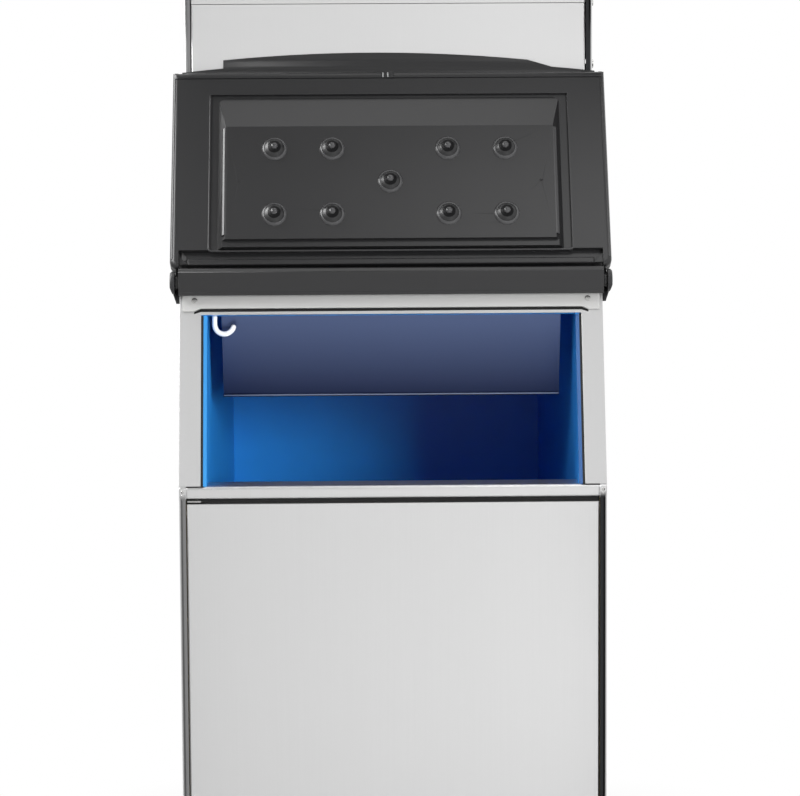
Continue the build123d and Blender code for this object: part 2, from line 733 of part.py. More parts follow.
def plug(inset):
    """Raised plug of the inner panel, or its hollow when inset by the wall."""
    foot = MOAT_FLOOR - inset
    top = PLUG_TOP - inset
    side_view = [
        (PLUG_START + inset, foot),
        (PLUG_START + inset, PLUG_LEDGE - inset),
        (PLUG_STEP + inset, PLUG_LEDGE - inset),
        (PLUG_STEP + inset, top),
        (PLUG_SLOPE, top),
        (PLUG_END - inset, foot),
    ]
    end_view = [
        (-PLUG_FOOT_HALF + inset, foot),
        (-PLUG_HALF + inset, top),
        (PLUG_HALF - inset, top),
        (PLUG_FOOT_HALF - inset, foot),
    ]
    end_plane = Plane(origin=DOOR.origin, x_dir=(1, 0, 0), z_dir=-DOOR.y_dir)
    along = prism(DOOR_SIDE, side_view, -PLUG_FOOT_HALF, PLUG_FOOT_HALF)
    across = prism(end_plane, end_view, -PLUG_END, -PLUG_START)
    front_view = rectangle(-PLUG_FOOT_HALF, PLUG_FOOT_HALF, PLUG_START, PLUG_END)
    corners = chamfer(outline(front_view).vertices().group_by(Axis.Y)[-1], 7)
    return along & across & prism(DOOR, corners, foot, top)


def domes(inset):
    centre_w = PLUG_TOP + DOME_RISE - DOME_RADIUS
    spots = [(x * s, v) for x in DOME_COLUMNS for v in DOME_ROWS for s in (-1, 1)]
    spots.append((0.0, DOME_MIDDLE_V))
    balls = [DOOR * Pos(x, v, centre_w) * Sphere(DOME_RADIUS - inset) for x, v in spots]
    low = PLUG_TOP - inset
    keep = prism(DOOR, rectangle(-DOOR_HALF, DOOR_HALF, 0, DOOR_TOP), low, PLUG_TOP + DOME_RISE)
    return [ball & keep for ball in balls]


def door_screw_spots():
    """Planes on the plug's face at the two sunk screws."""
    middle = [(DOOR.offset(PLUG_TOP) * Pos(x, DOME_MIDDLE_V)).position for x in SCREW_PAIR]
    return [Plane(origin=point, x_dir=DOOR.x_dir, z_dir=DOOR.z_dir) for point in middle]


def inner_panel():
    wall = DOOR_WALL
    slab = prism(DOOR, door_outline(), DOOR_SEAM, DOOR_FACE)
    rim = slab.faces().sort_by(DOOR_AXIS)[-1].edges().filter_by(GeomType.LINE)
    long_edges = rim.sort_by(Edge.length)[-4:]
    hinge_edge = long_edges.sort_by(DOOR_UP)[:1]
    slab = fillet([edge for edge in long_edges if edge not in hinge_edge], DOOR_EDGE)
    inner_half = ARM_INNER - CLEAR
    channel = rectangle(-inner_half, inner_half, DOOR_END, CHANNEL_TOP)
    slab -= prism(DOOR, channel, CHANNEL_FLOOR, DOOR_FACE)
    slab -= notch()
    slab -= prism(
        DOOR, rectangle(-BAR_HALF - CLEAR, BAR_HALF + CLEAR, DOOR_END, BAR_TOP), DOOR_SEAM, DOOR_FACE
    )
    groove = rectangle(-DOOR_HALF, DOOR_HALF, GROOVE_V, GROOVE_V + GROOVE)
    slab -= prism(DOOR, groove, DOOR_FACE - GROOVE, DOOR_FACE + 1)
    catch_low, catch_high = GROOVE_V + 2.5, DOOR_TOP - 1.5
    for x in (-9.5, -4.5):
        rib = rectangle(x - 1, x + 1, catch_low, catch_high)
        slab += prism(DOOR, rib, DOOR_FACE - 6, DOOR_FACE)
    slab -= prism(DOOR, rectangle(-1, 5, catch_low, catch_high - 2), 2, DOOR_FACE)
    corner = [(inner_half - 11, DOOR_NOTCH), (inner_half, DOOR_NOTCH), (inner_half, DOOR_NOTCH + 13)]
    slab += both_sides(prism(DOOR, corner, CHANNEL_FLOOR, CHANNEL_FLOOR + 6))
    moat = rectangle(-MOAT_HALF, MOAT_HALF, CHANNEL_TOP - 1, MOAT_END)
    slab -= prism(DOOR, moat, MOAT_FLOOR, DOOR_FACE)
    slab += plug(0)
    for dome in domes(0):
        slab += dome
    low = rectangle(wall - DOOR_HALF, DOOR_HALF - wall, CHANNEL_TOP + wall, DOOR_TOP - wall)
    slab -= prism(DOOR, low, DOOR_SEAM, MOAT_FLOOR - wall)
    ring = prism(DOOR, low, MOAT_FLOOR - wall, DOOR_FACE - wall)
    kept = rectangle(-MOAT_HALF - wall, MOAT_HALF + wall, 0, MOAT_END + wall)
    slab -= ring - prism(DOOR, kept, MOAT_FLOOR - wall, DOOR_FACE)
    slab -= plug(wall)
    for dome in domes(wall):
        slab -= dome
    for spot in door_screw_spots():
        slab -= spot * Cylinder(DOOR_SCREW_RADIUS, 12)
    return slab


def door_foam(shell, panel):
    wall = DOOR_WALL
    start = DOOR_NOTCH + wall
    lower = crowned(start, DOOR_TOP - wall, wall, DOOR_SEAM)
    foam = prism(DOOR_SIDE, lower, wall - DOOR_HALF, DOOR_HALF - wall)
    upper = rectangle(wall - DOOR_HALF, DOOR_HALF - wall, CHANNEL_TOP + wall, DOOR_TOP - wall)
    foam += prism(DOOR, upper, DOOR_SEAM, MOAT_FLOOR - wall)
    foam += plug(wall)
    for spot in door_screw_spots():
        foam -= spot * Cylinder(DOOR_SCREW_RADIUS, 40)
    return foam - shell - panel


def door_screw(spot):
    head = extrude(spot.offset(-2.0) * Circle(DOOR_SCREW_RADIUS), amount=1.6)
    shank = extrude(spot.offset(-18.0) * Circle(DOOR_SCREW_RADIUS / 2), amount=16.0)
    drive = spot.offset(-0.4) * Box(4.0, 0.9, 1.2)
    return head + shank - drive


DOOR_AXIS = Axis(origin=DOOR.origin, direction=DOOR.z_dir)
DOOR_UP = Axis(origin=DOOR.origin, direction=DOOR.y_dir)
door_shell = outer_shell()
door_panel = inner_panel()
parts["door_outer_shell"] = door_shell
parts["door_inner_panel"] = door_panel
parts["door_insulation"] = door_foam(door_shell, door_panel)
screws = [door_screw(spot) for spot in door_screw_spots()]
parts["door_screws"] = screws[0] + screws[1]


# Things inside the bin

def ice_baffle():
    top = LINER_ROOF_Z
    points = [
        (BAFFLE_TOP_DEPTH, top),
        (BAFFLE_TOP_DEPTH + BAFFLE_FLANGE, top),
        (BAFFLE_TOP_DEPTH + BAFFLE_FLANGE, top - SHEET),
        (BAFFLE_TOP_DEPTH + SHEET, top - SHEET),
        (BAFFLE_LOW_DEPTH + SHEET, BAFFLE_LOW_Z),
        (BAFFLE_LOW_DEPTH, BAFFLE_LOW_Z),
        (BAFFLE_TOP_DEPTH, top - SHEET),
    ]
    sheet = prism(SIDE, points, -BAFFLE_HALF, BAFFLE_HALF)
    hem = 2.2
    return sheet + along_x(-BAFFLE_HALF, BAFFLE_HALF, BAFFLE_LOW_DEPTH, BAFFLE_LOW_Z, hem)


def scoop_hook():
    low = HOOK_LOW_Z + HOOK_WIRE
    points = [
        place(HOOK_X, HOOK_DEPTH, LINER_ROOF_Z),
        place(HOOK_X, HOOK_DEPTH, low),
        place(HOOK_X + 2 * HOOK_BEND + 3, HOOK_DEPTH, low),
        place(HOOK_X + 3 * HOOK_BEND, HOOK_DEPTH, low + HOOK_BEND + 3),
    ]
    wire = tube(points, HOOK_WIRE, HOOK_BEND)
    tip = Pos(*points[-1]) * Sphere(HOOK_WIRE)
    return wire + tip + upright(HOOK_X, HOOK_DEPTH, LINER_ROOF_Z - 2, LINER_ROOF_Z, 6)


def bin_drain():
    wall = DRAIN_PIPE - DRAIN_BORE
    body = drain_outer()
    body += upright(DRAIN_X, DRAIN_DEPTH, LINER_FLOOR_Z, LINER_FLOOR_Z + 2, DRAIN_FLANGE)
    bore = DRAIN_PIPE - wall * 1.4
    body -= upright(DRAIN_X, DRAIN_DEPTH, DRAIN_Z, LINER_FLOOR_Z, bore)
    body -= Pos(*place(DRAIN_X, DRAIN_DEPTH, DRAIN_Z)) * Sphere(bore)
    body -= along_y(DRAIN_X, DRAIN_Z, DRAIN_DEPTH, BIN_DEPTH, bore)
    body -= along_y(DRAIN_X, DRAIN_Z, BIN_DEPTH - DRAIN_SOCKET, BIN_DEPTH, DRAIN_BORE)
    for row in (-8, 0, 8):
        slot = block(
            DRAIN_X - 9, DRAIN_X + 9, DRAIN_DEPTH + row - 2, DRAIN_DEPTH + row + 2,
            LINER_FLOOR_Z - 1, LINER_FLOOR_Z + 2,
        )
        body -= slot
    return body


def bin_insulation():
    """Foam between the cabinet and the liner, set back from the folded returns."""
    inner = offset(bin_profile(), amount=-SHEET, kind=Kind.INTERSECTION)
    foam = prism(SIDE, inner, SHEET - HALF, HALF - SHEET)
    full = LINER_HALF + LINER_WALL
    foam -= prism(SIDE, liner_profile(LINER_WALL), -full, full)
    foam -= block(-HALF, HALF, 0, PANEL_RETURN, FLOOR_Z, SILL_Z)
    foam -= block(-HALF, HALF, 0, LINER_FRONT_DEPTH + SHEET, SILL_Z - SILL_HEIGHT, SILL_Z + 2)
    front = rectangle(-HALF, HALF, -10, up_slant(DECK_Z) + 20)
    foam -= prism(SLANTED, front, -FRAME_RETURN, SHEET)
    foam -= drop_hole(LINER_WALL, LINER_ROOF_Z, DECK_Z)
    foam -= parts["bin_top_deck"]
    foam -= drain_outer()
    return foam.solids().sort_by(SortBy.VOLUME)[-1]


parts["ice_baffle"] = ice_baffle()
parts["scoop_hook"] = scoop_hook()
parts["bin_drain"] = bin_drain()
parts["bin_insulation"] = bin_insulation()


# Legs, each with a foot that screws in and out

def leg(x, depth):
    half = LEG_PLATE / 2
    plate = block(x - half, x + half, depth - half, depth + half, LEG_HEIGHT - 3, LEG_HEIGHT)
    plate = fillet(plate.edges().filter_by(Axis.Z), 8)
    post = upright(x, depth, LEG_LOW_Z, LEG_HEIGHT - 3, LEG_LOW_RADIUS, LEG_TOP_RADIUS)
    bore_top = STEM_TOP_Z + FOOT_TRAVEL + 4
    return plate + post - upright(x, depth, LEG_LOW_Z, bore_top, STEM_RADIUS + RUNNING)


def foot(x, depth):
    pad = upright(x, depth, 0, FOOT_HEIGHT, FOOT_RADIUS)
    pad = chamfer(pad.edges().filter_by(GeomType.CIRCLE), 2)
    nut_plane = Plane(origin=place(x, depth, FOOT_HEIGHT))
    nut = extrude(nut_plane * RegularPolygon(14, 6), amount=10)
    return pad + nut + upright(x, depth, FOOT_HEIGHT, STEM_TOP_Z, STEM_RADIUS)


corners = {
    "front_left": (-LEG_X, LEG_FRONT_DEPTH),
    "front_right": (LEG_X, LEG_FRONT_DEPTH),
    "rear_left": (-LEG_X, LEG_BACK_DEPTH),
    "rear_right": (LEG_X, LEG_BACK_DEPTH),
}
parts["legs"] = Compound([leg(*spot) for spot in corners.values()])
for name, spot in corners.items():
    parts[f"foot_{name}"] = foot(*spot)


# Head cabinet, with depths measured from its own front

def head(depth):
    return HEAD_FRONT + depth


def louvres(x_face, depth0, depth1, z0, z1):
    """Through slots for air in an upright side sheet."""
    slots = []
    count = int((z1 - z0) // LOUVRE_PITCH)
    for i in range(count):
        low = z0 + i * LOUVRE_PITCH
        slot = block(x_face - 3, x_face + 3, head(depth0), head(depth1), low, low + LOUVRE_GAP)
        slots.append(slot)
    return slots


def outlet_slots():
    """Slots of the fan outlet, each as long as the circle is wide at its height."""
    rows = int(2 * OUTLET_RADIUS // LOUVRE_PITCH)
    slots = []
    for i in range(rows):
        z = FAN_Z + (i - (rows - 1) / 2) * LOUVRE_PITCH
        reach = sqrt(OUTLET_RADIUS ** 2 - (z - FAN_Z) ** 2) - 4
        low = z - LOUVRE_GAP / 2
        slots.append(
            block(FAN_X - reach, FAN_X + reach, HEAD_BACK - 3, HEAD_BACK + 3, low, low + LOUVRE_GAP)
        )
    return slots


def head_side():
    low, high = DECK_Z, HEAD_TOP_Z - SHEET
    return side_tray(outline(rectangle(HEAD_FRONT, HEAD_BACK, low, high)), HEAD_FRONT)


head_tray = head_side()
parts["head_side_left"] = mirrored(head_tray)
vented = head_tray
for slot in louvres(HALF, 300, 460, 1000, 1260) + louvres(HALF, 80, 240, 1000, 1260):
    vented -= slot
parts["head_side_right"] = vented
parts["head_front_lower"] = front_tray(
    PANEL_HALF, HEAD_FRONT, DECK_Z + HEAD_REVEAL, HEAD_SPLIT_Z - SEAM / 2
)
upper = front_tray(
    PANEL_HALF, HEAD_FRONT, HEAD_SPLIT_Z + SEAM / 2, HEAD_TOP_Z - TOP_FOLD - SEAM
)
top_cover = block(-HALF, HALF, HEAD_FRONT, HEAD_BACK, HEAD_TOP_Z - SHEET, HEAD_TOP_Z)
top_cover += block(
    -PANEL_HALF, PANEL_HALF, HEAD_FRONT, HEAD_FRONT + SHEET, HEAD_TOP_Z - TOP_FOLD, HEAD_TOP_Z
)
parts["head_top"] = top_cover
chassis = block(
    SHEET - HALF, HALF - SHEET, head(SHEET), HEAD_BACK - SHEET, DECK_Z + SHEET, CHASSIS_TOP
)
chute = block(*CHUTE_X, head(CHUTE_FRONT), head(CHUTE_BACK), DECK_Z, CHASSIS_TOP)
parts["head_chassis"] = chassis - chute


def head_back():
    low, high = DECK_Z + HEAD_REVEAL, HEAD_TOP_Z - HEAD_REVEAL
    sheet = block(-PANEL_HALF, PANEL_HALF, HEAD_BACK - SHEET, HEAD_BACK, low, high)
    for slot in outlet_slots():
        sheet -= slot
    holes = ((FITTING_X, INLET_Z, 11), (OUTLET_X, OUTLET_Z, 11), (GLAND_X, GLAND_Z, 9))
    for x, z, radius in holes:
        sheet -= along_y(x, z, HEAD_BACK - 3, HEAD_BACK + 3, radius + CLEAR)
    return sheet


def side_screw(z):
    head_disc = along_x(HALF, HALF + 2, head(14), z, 6)
    return head_disc - block(HALF + 1.2, HALF + 2, head(10), head(18), z - 0.5, z + 0.5)


parts["head_back"] = head_back()
screws = [trim_screw(-TRIM_SCREW_X), trim_screw(TRIM_SCREW_X), side_screw(1237), side_screw(1322)]
parts["panel_screws"] = Compound(screws)

partition = block(
    PARTITION_X, PARTITION_X + SHEET, head(PANEL_RETURN), HEAD_BACK - SHEET,
    CHASSIS_TOP, HEAD_TOP_Z - SHEET,
)
for depth, z in ((SUCTION_DEPTH, SUCTION_Z), (LIQUID_DEPTH, LIQUID_Z)):
    partition -= along_x(PARTITION_X, PARTITION_X + SHEET, head(depth), z, COIL_RADIUS + 3)
parts["partition"] = partition


# Evaporator: a plate of square cells with a refrigerant coil on its back

def evaporator_plate():
    half_x = CELL_COLUMNS * CELL_PITCH / 2
    high = PLATE_Z + CELL_ROWS * CELL_PITCH
    front = head(PLATE_FRONT)
    back = front + CELL_DEPTH
    plate = block(PLATE_X - half_x, PLATE_X + half_x, front, back, PLATE_Z, high)
    middle = Pos(PLATE_X, (PLATE_Z + high) / 2)
    spots = GridLocations(CELL_PITCH, CELL_PITCH, CELL_COLUMNS, CELL_ROWS)
    cell = CELL_PITCH - CELL_WALL
    cells = Sketch() + [middle * spot * Rectangle(cell, cell) for spot in spots]
    pockets = extrude(FACE.offset(-back + CELL_WALL) * cells, amount=CELL_DEPTH)
    return plate - pockets


def evaporator_coil():
    reach = CELL_COLUMNS * CELL_PITCH / 2 - COIL_PITCH / 2
    depth = head(PLATE_FRONT) + CELL_DEPTH + COIL_RADIUS + RUNNING
    passes = int(CELL_ROWS * CELL_PITCH // COIL_PITCH)
    right = PLATE_X + reach
    left = PLATE_X - reach
    points = [place(right, head(COIL_END), SUCTION_Z)]
    for i in range(passes):
        z = SUCTION_Z + i * COIL_PITCH
        ends = (right, left) if i % 2 == 0 else (left, right)
        points += [place(ends[0], depth, z), place(ends[1], depth, z)]
    points.append(place(right, head(COIL_END), LIQUID_Z))
    return tube(points, COIL_RADIUS, COIL_PITCH / 2 - RUNNING)


def evaporator_frame():
    half_x = CELL_COLUMNS * CELL_PITCH / 2
    cheek = rectangle(head(150), head(245), TROUGH_TOP_Z, CURTAIN_AXIS_Z + 30)
    body = prism(SIDE, cheek, PLATE_X + half_x, PLATE_X + half_x + CHEEK)
    body += prism(SIDE, cheek, PLATE_X - half_x - CHEEK, PLATE_X - half_x)
    window = rectangle(head(160), head(196), PLATE_Z + 20, PLATE_Z + 250)
    body -= prism(SIDE, window, -HALF, HALF)
    body += block(
        PLATE_X - half_x, PLATE_X + half_x, head(232), head(245),
        CURTAIN_AXIS_Z + 24, CURTAIN_AXIS_Z + 30,
    )
    return body - along_x(-HALF, HALF, head(CURTAIN_DEPTH), CURTAIN_AXIS_Z, CURTAIN_PIN + RUNNING)


def water_distributor():
    half_x = CELL_COLUMNS * CELL_PITCH / 2
    pipe = along_x(PLATE_X - half_x, PLATE_X + half_x, head(190), DISTRIBUTOR_Z, 10)
    pipe -= along_x(PLATE_X - half_x + 3, PLATE_X + half_x - 3, head(190), DISTRIBUTOR_Z, 8)
    for i in range(CELL_COLUMNS):
        x = PLATE_X - half_x + CELL_PITCH * (i + 0.5)
        pipe -= upright(x, head(192), DISTRIBUTOR_Z - 11, DISTRIBUTOR_Z, 1.5)
    return pipe


def curtain():
    half_x = CELL_COLUMNS * CELL_PITCH / 2 - 2
    front, back = head(CURTAIN_DEPTH - 1.5), head(CURTAIN_DEPTH + 1.5)
    left, right = PLATE_X - half_x, PLATE_X + half_x
    sheet = block(left, right, front, back, CURTAIN_LOW_Z, CURTAIN_AXIS_Z)
    for i in range(1, 4):
        x = left + i * (right - left) / 4
        sheet += block(x - 1.5, x + 1.5, front - 5, front, CURTAIN_LOW_Z, CURTAIN_AXIS_Z - 20)
    pins = along_x(left - 5, right + 5, head(CURTAIN_DEPTH), CURTAIN_AXIS_Z, CURTAIN_PIN)
    return sheet + pins


parts["evaporator_plate"] = evaporator_plate()
parts["evaporator_coil"] = evaporator_coil()
parts["evaporator_frame"] = evaporator_frame()
parts["water_distributor"] = water_distributor()
parts["curtain"] = curtain()


# Water trough with its pump and float

def water_trough():
    half_x = CELL_COLUMNS * CELL_PITCH / 2 + CHEEK
    left, right = PLATE_X - half_x, PLATE_X + half_x
    front, back = head(TROUGH_FRONT), head(TROUGH_BACK)
    body = block(left, right, front, back, TROUGH_LOW_Z, TROUGH_TOP_Z)
    body -= block(left + 3, right - 3, front + 3, back - 3, TROUGH_LOW_Z + 3, TROUGH_TOP_Z)
    for x in (left + 10, right - 30):
        body += block(x, x + 20, front + 20, back - 10, CHASSIS_TOP, TROUGH_LOW_Z)
    floor_z = TROUGH_LOW_Z + 3
    body += upright(FLOAT_X, head(FLOAT_DEPTH), floor_z, TROUGH_TOP_Z - 4, FLOAT_STEM)
    return body


def water_pump():
    rim = block(
        PUMP_X - 35, PUMP_X + 60, head(PUMP_DEPTH - 30), head(PUMP_DEPTH + 38),
        TROUGH_TOP_Z, TROUGH_TOP_Z + 3,
    )
    motor = upright(PUMP_X, head(PUMP_DEPTH), TROUGH_TOP_Z + 3, TROUGH_TOP_Z + 75, 29)
    motor = fillet(motor.edges().group_by(Axis.Z)[-1], 8)
    shaft = upright(PUMP_X, head(PUMP_DEPTH), TROUGH_LOW_Z + 24, TROUGH_TOP_Z, 8)
    case = upright(PUMP_X, head(PUMP_DEPTH), TROUGH_LOW_Z + 6, TROUGH_LOW_Z + 24, 22)
    hose_x = PUMP_X + 45
    points = [
        place(hose_x, head(PUMP_DEPTH), TROUGH_TOP_Z + 3),
        place(hose_x, head(PUMP_DEPTH), DISTRIBUTOR_Z),
        place(hose_x, head(200), DISTRIBUTOR_Z),
    ]
    return rim + motor + shaft + case + tube(points, 6, 30)


def water_float():
    low = FLOAT_LOW_Z
    body = upright(FLOAT_X, head(FLOAT_DEPTH), low, low + FLOAT_HEIGHT, FLOAT_RADIUS)
    body = fillet(body.edges().filter_by(GeomType.CIRCLE), 4)
    bore = upright(FLOAT_X, head(FLOAT_DEPTH), low, low + FLOAT_HEIGHT, FLOAT_STEM + 2 * RUNNING)
    return body - bore


parts["water_trough"] = water_trough()
parts["water_pump"] = water_pump()
parts["water_float"] = water_float()


# Refrigeration: compressor, finned condenser, fan and the copper lines

def compressor():
    x, depth = COMPRESSOR_X, head(COMPRESSOR_DEPTH)
    high = COMPRESSOR_LOW_Z + COMPRESSOR_HEIGHT
    can = upright(x, depth, COMPRESSOR_LOW_Z, high, COMPRESSOR_RADIUS)
    can = fillet(can.edges().group_by(Axis.Z)[-1], 34)
    weld = upright(x, depth, high - 76, high - 68, COMPRESSOR_RADIUS + 3)
    half = MOUNT_SPAN / 2 + 20
    base = block(x - half, x + half, depth - half, depth + half, COMPRESSOR_LOW_Z - 4, COMPRESSOR_LOW_Z)
    stub = along_x(SUCTION_END, x, depth, SUCTION_Z, 8)
    cover = block(x - 30, x + 30, depth - COMPRESSOR_RADIUS - 22, depth, 1040, 1110)
    return can + weld + base + stub + cover


def compressor_mounts():
    x, depth = COMPRESSOR_X, head(COMPRESSOR_DEPTH)
    half = MOUNT_SPAN / 2
    spots = [(x + i * half, depth + j * half) for i in (-1, 1) for j in (-1, 1)]
    return Compound([upright(*spot, CHASSIS_TOP, COMPRESSOR_LOW_Z - 4, 12) for spot in spots])


def condenser():
    x0, x1 = CONDENSER_X
    z0, z1 = CONDENSER_Z
    front = head(CONDENSER_FRONT)
    back = front + CONDENSER_DEPTH
    rows = 6
    rise = (z1 - z0) / rows
    tubes = [
        along_x(x0, x1, (front + back) / 2, z0 + rise * (i + 0.5), COIL_RADIUS) for i in range(rows)
    ]
    body = tubes[0] + tubes[1:]
    count = int((x1 - x0) // FIN_PITCH)
    fins = [
        block(x0 + i * FIN_PITCH, x0 + i * FIN_PITCH + FIN, front, back, z0, z1)
        for i in range(1, count)
    ]
    ends = [
        block(x, x + 3, front, back, CHASSIS_TOP, z1 + 3) for x in (x0 - 3 + FIN, x1)
    ]
    return body + fins + ends


def fan_shroud():
    x0, x1 = CONDENSER_X
    z1 = CONDENSER_Z[1]
    front = head(CONDENSER_FRONT) + CONDENSER_DEPTH
    back = front + SHROUD_DEPTH
    body = block(x0, x1, front, back, CHASSIS_TOP, z1)
    body -= block(x0 + 2, x1 - 2, front, back - 2, CHASSIS_TOP + 2, z1 - 2)
    return body - along_y(FAN_X, FAN_Z, front, back, FAN_RING)


def fan_motor():
    back = head(CONDENSER_FRONT) + CONDENSER_DEPTH + SHROUD_DEPTH
    bar = block(FAN_X - 10, FAN_X + 10, back, back + 4, FAN_Z - FAN_RING - 10, FAN_Z + FAN_RING + 10)
    case = along_y(FAN_X, FAN_Z, back + 4, back + 36, 28)
    shaft = along_y(FAN_X, FAN_Z, back - 26, back, 4)
    return bar + case + shaft


def fan_blade():
    back = head(CONDENSER_FRONT) + CONDENSER_DEPTH + SHROUD_DEPTH - 4
    hub = along_y(FAN_X, FAN_Z, back - 22, back, 18)
    rotor = hub
    for i in range(FAN_BLADES):
        turn = Pos(*place(FAN_X, back - 11, FAN_Z)) * Rot(0, i * 360 / FAN_BLADES, 0)
        wing = turn * Pos(FAN_RADIUS / 2 + 4, 0, 0) * Rot(28, 0, 0)
        rotor += wing * Box(FAN_RADIUS - 8, 2.4, 34)
    rotor &= along_y(FAN_X, FAN_Z, back - 24, back + 1, FAN_RADIUS)
    return rotor - along_y(FAN_X, FAN_Z, back - 30, back + 1, 4 + RUNNING)


def refrigerant_lines():
    back = CONDENSER_FRONT + CONDENSER_DEPTH / 2
    top = CONDENSER_Z[1] + 3
    right = PLATE_X + CELL_COLUMNS * CELL_PITCH / 2 - COIL_PITCH / 2
    high = COMPRESSOR_LOW_Z + COMPRESSOR_HEIGHT
    hot = [
        place(COMPRESSOR_X, head(COMPRESSOR_DEPTH), high),
        place(COMPRESSOR_X, head(COMPRESSOR_DEPTH), top + 40),
        place(COMPRESSOR_X, head(back), top + 40),
        place(COMPRESSOR_X, head(back), CONDENSER_Z[1]),
    ]
    drier_x = CONDENSER_X[0] + 24
    liquid = [
        place(drier_x, head(back), CONDENSER_Z[1]),
        place(drier_x, head(back), LIQUID_Z),
        place(drier_x, head(LIQUID_DEPTH), LIQUID_Z),
        place(right, head(LIQUID_DEPTH), LIQUID_Z),
        place(right, head(COIL_END), LIQUID_Z),
    ]
    suction = [
        place(right, head(COIL_END), SUCTION_Z),
        place(right, head(SUCTION_DEPTH), SUCTION_Z),
        place(SUCTION_END, head(SUCTION_DEPTH), SUCTION_Z),
    ]
    drier = upright(drier_x, head(back), top + 10, top + 90, 18)
    drier = fillet(drier.edges().filter_by(GeomType.CIRCLE), 8)
    wet = tube(liquid, COIL_RADIUS, 15) + drier
    return Compound([tube(hot, COIL_RADIUS, 20), wet, tube(suction, COIL_RADIUS, 15)])


parts["compressor"] = compressor()
parts["compressor_mounts"] = compressor_mounts()
parts["condenser"] = condenser()
parts["fan_shroud"] = fan_shroud()
parts["fan_motor"] = fan_motor()
parts["fan_blade"] = fan_blade()
parts["refrigerant_lines"] = refrigerant_lines()


# Controls and the connections on the head's back

def rocker_axis(radius, x0, x1):
    return along_x(x0, x1, head(ROCKER_SINK), CONTROL_Z, radius)


def control_fascia():
    x0, x1 = FASCIA_X
    plate = block(x0, x1, head(-3), head(0), *FASCIA_Z)
    plate = fillet(plate.edges().filter_by(Axis.Y), 6)
    plate -= block(x0 + 12, x0 + 62, head(-3), head(-2.2), CONTROL_Z - 14, CONTROL_Z + 14)
    for x in BUTTON_X:
        plate -= along_y(x, CONTROL_Z, head(-4), head(1), BUTTON_RADIUS + CLEAR)
    half = ROCKER_HALF + CLEAR
    wall = 3
    housing = block(
        ROCKER_X - half - wall, ROCKER_X + half + wall, head(0), head(20),
        CONTROL_Z - 15, CONTROL_Z + 15,
    )
    opening = block(
        ROCKER_X - half, ROCKER_X + half, head(-3), head(18), CONTROL_Z - 12, CONTROL_Z + 12
    )
    body = plate + housing - opening
    return body - rocker_axis(2 + RUNNING, ROCKER_X - half - wall, ROCKER_X + half + wall)


def power_rocker():
    sink, tilt = head(ROCKER_SINK), radians(10)
    round_part = rocker_axis(11, ROCKER_X - ROCKER_HALF, ROCKER_X + ROCKER_HALF)
    cut = 30
    face = [
        (sink - 9, CONTROL_Z - cut),
        (sink - 9, CONTROL_Z),
        (sink - 9 + cut * tan(2 * tilt), CONTROL_Z + cut),
        (sink - 9 - cut, CONTROL_Z + cut),
        (sink - 9 - cut, CONTROL_Z - cut),
    ]
    body = round_part - prism(SIDE, face, 0, HALF)
    pins = rocker_axis(2, ROCKER_X - ROCKER_HALF - 3, ROCKER_X + ROCKER_HALF + 3)
    return body + pins


def button(x):
    stem = along_y(x, CONTROL_Z, head(-4.5), head(8), BUTTON_RADIUS)
    stem = fillet(stem.edges().filter_by(GeomType.CIRCLE).group_by(Axis.Y)[0], 1.2)
    return stem + along_y(x, CONTROL_Z, head(CLEAR), head(CLEAR + 2), BUTTON_RADIUS + 2)


def control_box():
    x0 = PARTITION_X + SHEET
    front, back = head(PANEL_RETURN + 14), head(PANEL_RETURN + BOX_DEPTH)
    z0, z1 = BOX_Z
    box = block(x0, BOX_END_X, front, back, z0, z1)
    return box - block(x0 + 2, BOX_END_X - 2, front + 2, back - 2, z0 + 2, z1 - 2)


def hex_nut(x, z, depth0, depth1, flats):
    plane = FACE.offset(-depth1)
    nut = plane * Pos(x, z) * RegularPolygon(flats / 2, 6, major_radius=False)
    return extrude(nut, amount=depth1 - depth0)


def water_inlet():
    end = HEAD_BACK + FITTING_REACH - 1
    body = hex_nut(FITTING_X, INLET_Z, HEAD_BACK, end, 27)
    body += along_y(FITTING_X, INLET_Z, HEAD_BACK - 22, HEAD_BACK, 11)
    body += along_y(FITTING_X, INLET_Z, head(TROUGH_BACK), HEAD_BACK - 22, 5)
    return body - along_y(FITTING_X, INLET_Z, end - 16, end, 8)


def head_drain():
    end = HEAD_BACK + FITTING_REACH - 1
    body = along_y(OUTLET_X, OUTLET_Z, HEAD_BACK, end, STUB_RADIUS)
    body += along_y(OUTLET_X, OUTLET_Z, HEAD_BACK - 8, HEAD_BACK, STUB_RADIUS - 1)
    body += along_y(OUTLET_X, OUTLET_Z, HEAD_BACK - 8, HEAD_BACK - SHEET, 16)
    body += along_y(OUTLET_X, OUTLET_Z, head(TROUGH_BACK), HEAD_BACK - 8, 9)
    return body - along_y(OUTLET_X, OUTLET_Z, head(TROUGH_BACK + 10), end, 7)


def power_gland():
    end = HEAD_BACK + FITTING_REACH - 1
    body = hex_nut(GLAND_X, GLAND_Z, HEAD_BACK, end, 20)
    body += along_y(GLAND_X, GLAND_Z, HEAD_BACK - 12, HEAD_BACK, 9)
    body += along_y(GLAND_X, GLAND_Z, HEAD_BACK - 12, HEAD_BACK - SHEET, 13)
    return body - along_y(GLAND_X, GLAND_Z, end - 16, end, 5)


